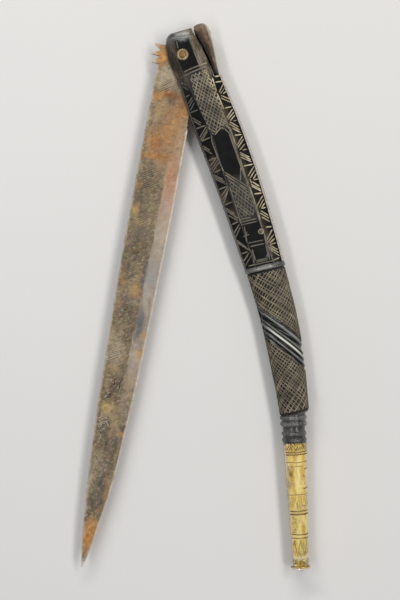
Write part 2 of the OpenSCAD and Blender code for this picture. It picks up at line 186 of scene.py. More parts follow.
def boolean(obj, other, operation="DIFFERENCE"):
    """Cuts other out of obj, or joins it, and removes other."""
    mod = obj.modifiers.new("cut", "BOOLEAN")
    mod.operation, mod.object, mod.solver = operation, other, "MANIFOLD"
    apply_modifiers(obj)
    bpy.data.objects.remove(other)


def prism(points, half):
    """Closed prism over a polygon, half its thickness on each side of the middle plane."""
    n = len(points)
    verts = [(x, y, z) for z in (-half, half) for x, y in points]
    area = sum(points[i - 1][0] * points[i][1] - points[i][0] * points[i - 1][1] for i in range(n))
    order = list(range(n)) if area > 0 else list(range(n))[::-1]
    faces = [tuple(reversed(order)), tuple(i + n for i in order)]
    faces += [(order[k], order[(k + 1) % n], order[(k + 1) % n] + n, order[k] + n) for k in range(n)]
    return make_object("prism", verts, faces)


def lathe(name, profile, place, materials=(), count=72, smooth_angle=28, hollow=False, wobble=None):
    """Closed body turned from a profile of (way, radius), placed by place(way, side, up)."""
    verts, rows = [], len(profile)
    for s, r in profile:
        for k in range(count):
            a = 2 * pi * k / count
            q = r * wobble(r, a) if wobble else r
            verts.append(place(s, q * cos(a), q * sin(a)))
    faces = []
    for j in range(rows if hollow else rows - 1):
        for k in range(count):
            here, there, nxt = j * count, (j + 1) % rows * count, (k + 1) % count
            faces.append((here + k, here + nxt, there + nxt, there + k))
    if not hollow:
        faces += [tuple(range(count))[::-1], tuple((rows - 1) * count + k for k in range(count))]
    obj = make_object(name, verts, faces, materials, None, smooth_angle)
    return rework(obj, outwards, smooth_angle)


def upright(at):
    """Placing function of a lathe body that stands on the knife's plane."""
    return lambda s, a, b: (at[0] + a, at[1] + b, s)


def bar(r, half, at=(0, 0), count=64):
    return lathe("bar", [(-half, r), (half, r)], upright(at), (), count)


def on_tail(s, side, up):
    return (RING_START[0] + TAIL_DIR.x * s + TAIL_SIDE.x * side,
            RING_START[1] + TAIL_DIR.y * s + TAIL_SIDE.y * side, up)


def tail_way(co):
    """Way along the tail, and distance to its side, of points in the knife's plane."""
    rel = co[:, :2] - np.array(RING_START)
    return rel @ np.array(TAIL_DIR), rel @ np.array(TAIL_SIDE)


# ---------------------------------------------------------------- engraving
class Engraving:
    """Strokes cut as V grooves into a surface over a flat domain."""

    def __init__(self, width, depth, jitter):
        self.width, self.depth, self.jitter = width, depth, jitter
        self.strokes = []

    def line(self, points, width=1.0, jitter=1.0):
        """Straight strokes through points moved a little as by hand; only the two far ends are pointed."""
        j = self.jitter * jitter
        pts = [Vector((x + random.uniform(-j, j), y + random.uniform(-j, j))) for x, y in points]
        w = self.width * width * random.uniform(0.85, 1.15)
        d = self.depth * random.uniform(0.85, 1.1)
        for k, (a, b) in enumerate(zip(pts, pts[1:])):
            if (b - a).length > 0.3:
                self.strokes.append((a, b, w, d, k == 0, k == len(pts) - 2))

    def hatch(self, inside, box, turn, pitch, width=1.0, wander=0.12):
        """Parallel lines over box, kept where inside(x, y) holds."""
        x0, y0, x1, y1 = box
        c, s = cos(radians(turn)), sin(radians(turn))
        mid = Vector(((x0 + x1) / 2, (y0 + y1) / 2))
        reach = hypot(x1 - x0, y1 - y0) / 2
        offset, step = -reach, 0.5
        while offset < reach:
            shift = offset + random.uniform(-wander, wander) * pitch
            tilt = radians(random.uniform(-1.3, 1.3))
            d = Vector((c * cos(tilt) - s * sin(tilt), s * cos(tilt) + c * sin(tilt)))
            base = mid + Vector((-s, c)) * shift
            n, run = int(2 * reach / step), None
            for k in range(n + 1):
                p = base + d * (k * step - reach)
                ok = x0 <= p.x <= x1 and y0 <= p.y <= y1 and inside(p.x, p.y)
                if ok and run is None:
                    run = p
                if run is not None and (not ok or k == n):
                    self.line([run, base + d * ((k - 1) * step - reach)], width, 0.3)
                    run = None
            offset += pitch

    def constraints(self):
        """Border and middle lines of each stroke."""
        lines = []
        for a, b, w, _, pointed_a, pointed_b in self.strokes:
            length = (b - a).length
            t = (b - a) / length
            n = Vector((-t.y, t.x)) * (w / 2)
            point = t * min(w * 1.3, length / 3)
            for side in (n, -n):
                start = [a, a + point + side] if pointed_a else [a + side]
                lines.append(start + ([b - point + side, b] if pointed_b else [b + side]))
            lines.append([a, b])
        return lines

    def depth_at(self, pts):
        out = np.zeros(len(pts))
        for a, b, w, depth, pointed_a, pointed_b in self.strokes:
            near = np.where(np.all((pts > np.minimum(a, b) - w) & (pts < np.maximum(a, b) + w), axis=1))[0]
            if not len(near):
                continue
            d = np.array(b - a)
            length = np.hypot(*d)
            t = d / length
            rel = pts[near] - np.array(a)
            s, r = rel @ t, np.abs(rel @ np.array((-t[1], t[0])))
            taper = min(w * 1.3, length / 3)
            share = np.where((s >= -1e-6) & (s <= length + 1e-6), 1.0, 0.0)
            for pointed, way in ((pointed_a, s), (pointed_b, length - s)):
                if pointed:
                    share = np.minimum(share, unit(way / taper))
            half = np.maximum(w / 2 * share, 1e-6)
            out[near] = np.maximum(out[near], depth * share * np.maximum(1 - r / half, 0))
        return out


def triangulate(outline, lines, points, engraving):
    """Points and triangles inside an outline with all the lines, strokes and points kept; which are cut, how deep."""
    coords, index, edges = [], {}, []

    def add(p):
        key = (round(p[0], 4), round(p[1], 4))
        if key not in index:
            index[key] = len(coords)
            coords.append(Vector(key))
        return index[key]

    face = [add(p) for p in outline]
    for line in lines + engraving.constraints():
        ids = [add(p) for p in line]
        edges += [(a, b) for a, b in zip(ids, ids[1:]) if a != b]
    for p in points:
        add(p)
    verts, _, faces, *_ = delaunay_2d_cdt(coords, edges, [face], 1, 1e-5)
    v, tris = np.array([tuple(v) for v in verts]), np.array([f for f in faces if len(f) == 3], int)
    return v, tris, engraving.depth_at(v[tris].mean(axis=1)) > 0.01, engraving.depth_at(v)


def two_faced(name, outline, lines, points, height, engraving, materials, smooth_angle=28):
    """Closed body with the same engraved relief on its front and rear face."""
    v, tris, cut, depth = triangulate(outline, lines, points, engraving)
    z = height(v[:, 0], v[:, 1]) - depth
    n = len(v)
    verts = np.vstack([np.column_stack([v, z]), np.column_stack([v, -z])])
    faces = [tuple(t) for t in tris] + [(t[2] + n, t[1] + n, t[0] + n) for t in tris]
    directed = dict.fromkeys((t[k], t[k - 2]) for t in tris for k in range(3))
    wall = [(b, a, a + n, b + n) for a, b in directed if (b, a) not in directed]
    indices = np.concatenate([cut, cut, np.zeros(len(wall), bool)]).astype(int)
    return make_object(name, verts, faces + wall, materials, indices, smooth_angle)


def tube(name, length, girth, lines, points, place, engraving, materials, smooth_angle=28):
    """Closed body wrapped from the domain length by [0, girth]; its two long sides meet in a seam."""
    seam = sorted({round(p[0], 4) for line in lines for p in (line[0], line[-1])
                   if p[1] < 1e-6 or p[1] > girth - 1e-6} | set(length))
    outline = [(x, 0.0) for x in seam] + [(x, girth) for x in reversed(seam)]
    v, tris, cut, depth = triangulate(outline, lines, points, engraving)
    co = place(v[:, 0], np.clip(v[:, 1], 0, girth), depth)
    obj = make_object(name, co, [tuple(t) for t in tris], materials, cut.astype(int), smooth_angle)

    def close(bm):
        bmesh.ops.remove_doubles(bm, verts=bm.verts, dist=2e-7)
        bmesh.ops.holes_fill(bm, edges=[e for e in bm.edges if e.is_boundary], sides=0)
        outwards(bm)
    return rework(obj, close, smooth_angle)


def inside_polygon(polygon):
    p = np.asarray(polygon, float)

    def test(x, y):
        hit = False
        for (x1, y1), (x2, y2) in zip(p, np.roll(p, -1, axis=0)):
            if (y1 > y) != (y2 > y) and x < (x2 - x1) * (y - y1) / (y2 - y1) + x1:
                hit = not hit
        return hit
    return test


# ---------------------------------------------------------------- materials
class Shade:
    """A node material with one Principled shader; colour holds the layers laid so far."""

    def __init__(self, name, **values):
        self.material = bpy.data.materials.new(name)
        self.material.use_nodes = True
        self.tree = self.material.node_tree
        self.shader = self.tree.nodes["Principled BSDF"].inputs
        self.where = self.add("TexCoord", {}, "Object")
        self.colour = None
        for key, value in values.items():
            self.shader[key.replace("_", " ")].default_value = value

    def add(self, kind, inputs, output=0, **props):
        """Output of a new node, whose inputs are sockets or constants."""
        node = self.tree.nodes.new("ShaderNode" + kind)
        for key, value in props.items():
            setattr(node, key, value)
        for key, value in inputs.items():
            socket = node.inputs[key]
            if isinstance(value, bpy.types.NodeSocket):
                self.tree.links.new(value, socket)
            else:
                socket.default_value = (*value, 1) if socket.type == "RGBA" else value
        return node.outputs[output]

    def placed(self, scale=(1, 1, 1), turn=0.0, at=None):
        return self.add("Mapping", {"Vector": at or self.where, "Scale": scale, "Rotation": (0, 0, radians(turn))})

    def noise(self, size_mm, detail, rough=0.55, at=None):
        return self.add("TexNoise", {"Vector": at or self.where, "Scale": 1000 / size_mm, "Detail": detail,
                                     "Roughness": rough}, "Fac")

    def attribute(self, name):
        return self.add("Attribute", {}, "Fac", attribute_name=name)

    def ramp(self, fac, *stops):
        """Ramp through positions, each followed by its grey value or colour."""
        out = self.add("ValToRGB", {"Fac": fac})
        elements = out.node.color_ramp.elements
        while len(elements) < len(stops) / 2:
            elements.new(0.5)
        for e, position, tone in zip(elements, stops[::2], stops[1::2]):
            e.position = position
            e.color = (*tone, 1) if isinstance(tone, tuple) else (tone, tone, tone, 1)
        return out

    def cloud(self, size_mm, detail, rough, *stops, at=None):
        return self.ramp(self.noise(size_mm, detail, rough, at), *stops)

    def patchy(self, name, *cloud):
        """A painted attribute, broken up by a cloud."""
        return self.times(self.attribute(name), self.cloud(*cloud))

    def math(self, operation, a, b, clamp=False):
        return self.add("Math", {0: a, 1: b}, operation=operation, use_clamp=clamp)

    def times(self, a, b):
        return self.math("MULTIPLY", a, b)

    def mix(self, fac, a, b):
        return self.add("Mix", {0: fac, 6: a, 7: b}, 2, data_type="RGBA")

    def lay(self, fac, tone):
        """Covers the colour so far with a tone, as strong as fac."""
        self.colour = self.mix(fac, self.colour, tone)

    def bump(self, height, strength, distance_mm, under=None):
        inputs = {"Height": height, "Strength": strength, "Distance": distance_mm * MM}
        return self.add("Bump", {**inputs, "Normal": under} if under else inputs)

    def done(self, **sockets):
        """The material, with the colour and these sockets linked to its shader."""
        self.tree.links.new(self.colour, self.shader["Base Color"])
        for key, socket in sockets.items():
            self.tree.links.new(socket, self.shader[key])
        return self.material


def horn_material():
    """Polished black horn, dusty where it is hatched and worn pale along its edges, with painted highlights, painted
    sheen and painted rim light where light falls on it.
    """
    m = Shade("black_horn", Specular_IOR_Level=0.3)
    m.colour = m.cloud(9, 5, 0.6, 0.3, 0.003, 0.62, (0.005, 0.006, 0.007),
                       0.8, (0.014, 0.017, 0.019), at=m.placed((0.25, 1, 1)))
    fine = m.noise(0.9, 5, 0.7)
    dust = m.patchy("dust", 7, 5, 0.65, 0.32, 0.25, 0.64, 1)
    m.lay(dust, m.ramp(fine, 0.35, (0.03, 0.027, 0.021), 0.65, (0.115, 0.1, 0.074)))
    # pale where worn, and painted rim light along the back edge and on the oval's sides
    scraped = m.patchy("worn", 2.4, 5, 0.7, 0.3, 0.45, 0.58, 1)
    m.lay(scraped, m.ramp(fine, 0.35, (0.4, 0.345, 0.31), 0.65, (0.86, 0.77, 0.71)))
    # painted sheen, partly polish: grey on the bead, the band's crests and the turned rings
    m.lay(m.patchy("buffed", 5, 5, 0.65, 0.34, 0.35, 0.6, 1),
          m.ramp(fine, 0.35, (0.085, 0.085, 0.08), 0.65, (0.265, 0.26, 0.245)))
    # pale scratched streaks on the head's end chamfer, partly painted light
    m.lay(m.attribute("scored"), m.cloud(1.6, 5, 0.75, 0.34, (0.035, 0.036, 0.033), 0.44, (0.22, 0.225, 0.21),
                                         0.56, (0.66, 0.67, 0.63), at=m.placed((1, 0.16, 1), -6)))
    m.lay(m.attribute("soil"), m.cloud(2.6, 6, 0.75, 0.36, (0.02, 0.017, 0.013), 0.5, (0.105, 0.08, 0.052),
                                       0.64, (0.27, 0.215, 0.145), at=m.placed((0.3, 1, 1), 10)))
    # painted highlight, near white, on the band's crests and the bead
    m.lay(m.attribute("gleam"), (0.84, 0.85, 0.76))
    dull = m.math("MAXIMUM", m.math("MAXIMUM", dust, scraped),
                  m.math("MAXIMUM", m.attribute("scored"), m.attribute("matt")))
    return m.done(Roughness=m.math("ADD", m.cloud(4, 6, 0.7, 0.3, 0.16, 0.7, 0.26), m.times(dull, 0.5), True),
                  Normal=m.bump(m.noise(0.8, 4, 0.6), 0.18, 0.05, m.bump(m.noise(6, 2), 0.12, 0.25)))


def groove_material():
    """Chalky ground of the engraved strokes; those on the back bevel are painted paler as lit, and some are darker,
    those on the hollow side bevel as painted shade.
    """
    m = Shade("horn_engraving", Roughness=0.85)
    spread = m.noise(5, 5, 0.65)
    aged = m.ramp(spread, 0.3, (0.09, 0.077, 0.052), 0.5, (0.215, 0.184, 0.125), 0.7, (0.36, 0.305, 0.205))
    # paler stroke tone, painted as lit on the back bevel
    fresh = m.ramp(spread, 0.3, (0.18, 0.145, 0.088), 0.5, (0.42, 0.355, 0.225), 0.7, (0.72, 0.63, 0.44))
    m.colour = m.mix(m.attribute("fresh"), aged, fresh)
    # darker strokes, on the hollow side bevel as painted shade
    m.lay(m.attribute("faint"), (0.055, 0.062, 0.068))
    return m.done(Normal=m.bump(m.noise(0.4, 3), 0.3, 0.04))


def brass_material(name, low, high, stained=0.8):
    """Worn brass with streaks along the tail, painted as glossy reflections and highlights, and brown and pinkish
    stains; paler on rubbed and painted lit edges, darker on dirt and painted shade.
    """
    m = Shade(name, Metallic=0.35, Specular_IOR_Level=0.3)
    stain = m.noise(6, 6, 0.65)
    level = m.placed(turn=-degrees(atan2(TAIL_DIR.y, TAIL_DIR.x)))
    streak = m.noise(2.6, 6, 0.68, m.placed((0.28, 1, 1), 0, level))
    m.colour = m.ramp(streak, 0.38, low, 0.62, high)
    m.lay(m.ramp(stain, 0.5, 0, 0.64, stained), (0.42, 0.25, 0.13))
    m.lay(m.cloud(3, 6, 0.7, 0.56, 0, 0.7, stained), (0.095, 0.055, 0.024))
    # painted highlights, streaked along the tail
    m.lay(m.times(m.attribute("shine"), m.ramp(streak, 0.36, 0.3, 0.52, 0.9)), (1, 0.86, 0.38))
    # paler where worn, and painted rim light along the sheath's back edge and on the disc's outer face
    m.lay(m.patchy("worn", 1.6, 5, 0.7, 0.36, 0.25, 0.54, 1), (0.8, 0.7, 0.56))
    # dirt, and painted shade at the sheath's end, on the disc's inner face and at the rings' inner edges
    m.lay(m.patchy("dust", 1.2, 5, 0.7, 0.42, 0.1, 0.6, 1), (0.07, 0.042, 0.022))
    return m.done(Roughness=m.ramp(stain, 0.35, 0.24, 0.7, 0.5),
                  Normal=m.bump(m.noise(0.7, 5, 0.65), 0.22, 0.06, m.bump(m.noise(3, 3), 0.25, 0.25)))


def dirt_material():
    m = Shade("brass_engraving", Roughness=0.8, Metallic=0.2)
    m.colour = m.cloud(2, 4, 0.55, 0.3, (0.055, 0.032, 0.014), 0.7, (0.22, 0.135, 0.055))
    m.lay(m.attribute("soft"), (0.46, 0.31, 0.1))
    return m.done()


def steel_material(name, dark, mid, pale, rubbed_by="worn"):
    """Brown steel with rust; bright on rubbed edges and on the spring's painted highlights, darkened on the blade's
    dark patches and the spring's painted shade.
    """
    m = Shade(name, Metallic=0.35)
    m.colour = m.cloud(6, 7, 0.7, 0.36, dark, 0.5, mid, 0.66, pale)
    m.lay(m.cloud(3, 5, 0.7, 0.52, 0, 0.66, 0.6), (0.21, 0.115, 0.045))
    m.lay(m.cloud(0.9, 5, 0.75, 0.55, 0, 0.66, 0.7), (0.022, 0.014, 0.009))
    # darker: dark patches on the blade, painted shade on the spring
    m.lay(m.attribute("dark"), (0.018, 0.008, 0.005))
    # paler: rubbed edges, and the spring's painted highlights
    m.lay(m.patchy(rubbed_by, 2.8, 6, 0.7, 0.36, 0.25, 0.54, 1), (0.6, 0.53, 0.45))
    return m.done(Roughness=m.cloud(2, 5, 0.55, 0.3, 0.34, 0.7, 0.6),
                  Normal=m.bump(m.noise(1.2, 6, 0.7), 0.45, 0.2, m.bump(m.noise(5, 3), 0.3, 0.5)))


def blade_material():
    """Brown patina with a paler ground bevel, file lines, dark and pale patches and rust."""
    m = Shade("blade_steel", Metallic=0.2, Roughness=0.5, Specular_IOR_Level=0.3)
    slanted = m.placed(turn=SHOWN_TURN - 32)
    m.where = m.placed(turn=SHOWN_TURN)
    grit = m.noise(1.8, 6, 0.75)
    # brown patina
    m.colour = m.cloud(13, 9, 0.76, 0.35, (0.085, 0.064, 0.038), 0.44, (0.155, 0.118, 0.07),
                       0.53, (0.24, 0.183, 0.108), 0.64, (0.39, 0.305, 0.185), at=m.placed((0.65, 1, 1)))
    hue = m.noise(5, 6, 0.7)
    m.lay(m.ramp(hue, 0.36, 0.75, 0.47, 0), (0.215, 0.128, 0.108))
    m.lay(m.ramp(hue, 0.53, 0, 0.64, 0.7), (0.225, 0.2, 0.088))
    m.lay(m.cloud(6.5, 6, 0.72, 0.52, 0, 0.64, 0.65), (0.31, 0.18, 0.082))
    body = m.colour
    # ground bevel
    m.colour = m.mix(m.attribute("cool"),
                     m.cloud(9, 6, 0.7, 0.36, (0.34, 0.19, 0.12), 0.64, (0.47, 0.305, 0.215)),
                     m.cloud(7, 6, 0.7, 0.36, (0.27, 0.222, 0.178), 0.64, (0.4, 0.338, 0.275)))
    streak = m.noise(5, 6, 0.72, m.placed((0.35, 1, 1)))
    m.lay(m.ramp(streak, 0.38, 0.55, 0.48, 0), (0.215, 0.17, 0.13))
    m.lay(m.ramp(streak, 0.53, 0, 0.64, 0.5), (0.4, 0.29, 0.195))
    ragged = m.math("ADD", m.attribute("bevel"), m.times(m.math("SUBTRACT", m.noise(3, 6, 0.75), 0.5), 1.3))
    ground = m.ramp(ragged, 0.36, 0, 0.62, 1)
    m.colour = m.mix(ground, body, m.colour)
    # patches
    patch = m.noise(3.6, 6, 0.72, m.placed((0.8, 1, 1)))
    m.lay(m.times(m.ramp(ground, 0.1, 0.75, 0.9, 0.12), m.ramp(patch, 0.36, 0.9, 0.47, 0)), (0.085, 0.068, 0.046))
    m.lay(m.times(m.ramp(ground, 0.1, 0.6, 0.9, 0.15), m.ramp(patch, 0.54, 0, 0.66, 0.8)), (0.4, 0.325, 0.215))
    for name, size, least, highest, tone in (
            ("tan", 7, 0.15, 0.85, (0.35, 0.195, 0.095)), ("dark", 5, 0.28, 0.92, (0.06, 0.054, 0.044)),
            ("blue", 8, 0.2, 0.85, (0.275, 0.28, 0.27)), ("pale", 3.4, 0.2, 0.85, (0.43, 0.36, 0.255)),
            ("slate", 4, 0.45, 0.95, (0.125, 0.128, 0.135)), ("violet", 3, 0.15, 0.75, (0.15, 0.115, 0.105)),
            ("ember", 2.2, 0.5, 0.95, (0.53, 0.245, 0.07)), ("gold", 3, 0.35, 0.9, (0.5, 0.345, 0.135))):
        m.lay(m.patchy(name, size, 6, 0.72, 0.36, least, 0.58, highest), tone)
    # file lines and specks
    lines = m.add("TexWave", {"Vector": m.placed((1, 0.6, 1), 0, slanted), "Scale": 1000 / 1.15 / 3.18,
                              "Distortion": 4.6, "Detail": 3, "Detail Scale": 1.3}, "Fac")
    filed = m.patchy("filed", 5, 5, 0.65, 0.4, 0.15, 0.56, 1)
    m.lay(m.times(filed, m.ramp(lines, 0.25, 0.8, 0.55, 0)), (0.05, 0.04, 0.028))
    m.lay(m.times(filed, m.ramp(lines, 0.62, 0, 0.9, 0.4)), (0.48, 0.4, 0.27))
    speck = m.noise(1.15, 5, 0.66, m.placed((1, 0.55, 1), 0, slanted))
    rougher = m.math("ADD", m.ramp(ground, 0.1, 0.42, 0.9, 0.14), m.times(m.attribute("mottled"), 0.42), True)
    m.lay(m.times(rougher, m.ramp(speck, 0.34, 0.9, 0.46, 0)), (0.055, 0.043, 0.03))
    m.lay(m.times(rougher, m.ramp(speck, 0.54, 0, 0.66, 0.85)), (0.5, 0.41, 0.28))
    m.lay(m.times(rougher, m.cloud(2.2, 6, 0.78, 0.34, 0.9, 0.43, 0)), (0.048, 0.038, 0.028))
    # rust
    rust = m.math("MAXIMUM", m.patchy("rust", 3, 7, 0.78, 0.38, 0, 0.52, 1),
                  m.cloud(9, 7, 0.75, 0.58, 0, 0.7, 0.35), True)
    m.lay(m.times(rust, 0.92), m.cloud(2.4, 6, 0.75, 0.34, (0.2, 0.08, 0.03), 0.44, (0.39, 0.18, 0.06),
                                       0.56, (0.61, 0.295, 0.085), 0.7, (0.84, 0.5, 0.2)))
    m.lay(m.patchy("umber", 2, 6, 0.75, 0.36, 0.15, 0.5, 1), (0.2, 0.078, 0.034))
    m.lay(m.patchy("worn", 3, 4, 0.7, 0.34, 0.4, 0.6, 1), (0.62, 0.555, 0.475))
    relief = m.bump(m.math("ADD", grit, m.times(rust, 0.5)), 0.4, 0.16)
    return m.done(Roughness=m.ramp(m.math("ADD", rust, m.times(grit, 0.6)), 0.2, 0.42, 0.9, 0.85),
                  Normal=m.bump(m.times(filed, lines), 0.5, 0.12, relief))


HORN, GROOVE, DIRT, BLADE = horn_material(), groove_material(), dirt_material(), blade_material()
BRASS = brass_material("sheath_brass", (0.68, 0.43, 0.075), (1, 0.8, 0.24))
DISC = brass_material("disc_brass", (0.66, 0.56, 0.33), (0.95, 0.88, 0.64), 0.35)
PIN = brass_material("pin_brass", (0.11, 0.062, 0.018), (0.34, 0.205, 0.065))
ROSETTE = brass_material("rosette_brass", (0.155, 0.105, 0.055), (0.4, 0.3, 0.175), 0.5)
WASHER = brass_material("washer_brass", (0.2, 0.195, 0.155), (0.5, 0.49, 0.41), 0.3)
RIVET_END = brass_material("rivet_brass", (0.06, 0.055, 0.038), (0.2, 0.185, 0.13), 0.3)
SPRING = steel_material("spring_steel", (0.04, 0.02, 0.008), (0.125, 0.07, 0.03), (0.3, 0.19, 0.09))
CUT = steel_material("blade_engraving", (0.05, 0.04, 0.03), (0.1, 0.08, 0.06), (0.16, 0.13, 0.1), "scroll")


def paint(obj, **layers):
    """Stores values from 0 to 1 at each vertex, which the materials read by name."""
    for name, values in layers.items():
        layer = obj.data.attributes.new(name, "FLOAT", "POINT")
        layer.data.foreach_set("value", unit(values).astype(np.float32))


def points_of(obj):
    """Vertices in millimetres, with Z from the knife's middle plane."""
    co = np.empty(len(obj.data.vertices) * 3)
    obj.data.vertices.foreach_get("co", co)
    return co.reshape(-1, 3) / MM - (0, 0, MID_Z)


def hand_in(obj, body, node):
    """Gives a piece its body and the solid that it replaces."""
    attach(obj, body)
    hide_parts(node)


# ---------------------------------------------------------------- horn: faceted part
CAMERA_XY = np.array((132.0, -20.8))
CAMERA_D = 700.0
FACET_END_X = 121.2
HEAD_CHAMFER = 5.0
RIM = ((0.0, -1.3), (0.3, -0.55), (0.95, -0.05))     # rounded outer edge: inset and step in z
ARRIS = 0.32                                         # half width of the worn arris beside the facet


def head_share(x):
    return unit((np.asarray(x, float) + HEAD_L) / HEAD_CHAMFER)


def horn_lo(x):
    return along(HOLLOW_EDGE, x) + 0.8 * (1 - head_share(x))


def horn_hi(x):
    return along(BACK_EDGE, x) - 0.8 * (1 - head_share(x))


def horn_height(x, y):
    """Half thickness of the faceted horn over (x, y)."""
    x, y = np.asarray(x, float), np.asarray(y, float)
    share = head_share(x)
    top = HEAD_T / 2 + share * (HORN_T - HEAD_T) / 2
    edge = HORN_EDGE_T / 2 * (0.75 + 0.25 * share)
    out = np.empty_like(x)
    for i, (t, e, c, lo, hi) in enumerate(zip(top, edge, along(FACET_MIDDLE, x), horn_lo(x), horn_hi(x))):
        way, side = (y[i] - lo, c - FACET_W - lo) if y[i] < c else (hi - y[i], hi - c - FACET_W)
        slope = (t - e) / side
        out[i] = np.interp(way, [*(d for d, _ in RIM), side - ARRIS, side + ARRIS],
                           [*(e + slope * d + dz for d, dz in RIM), t - slope * ARRIS, t])
    return out


def seen(p):
    """Moves a point that was measured at the facet's height to the surface that the camera sees it on."""
    q = np.array(p, float)
    for _ in range(3):
        x = np.array([np.clip(q[0], -HEAD_L, FACET_END_X)])
        z = horn_height(x, np.clip(q[1], horn_lo(x), horn_hi(x)))[0]
        q = CAMERA_XY + (np.array(p, float) - CAMERA_XY) * (CAMERA_D - z) / (CAMERA_D - HORN_T / 2)
    return tuple(q)


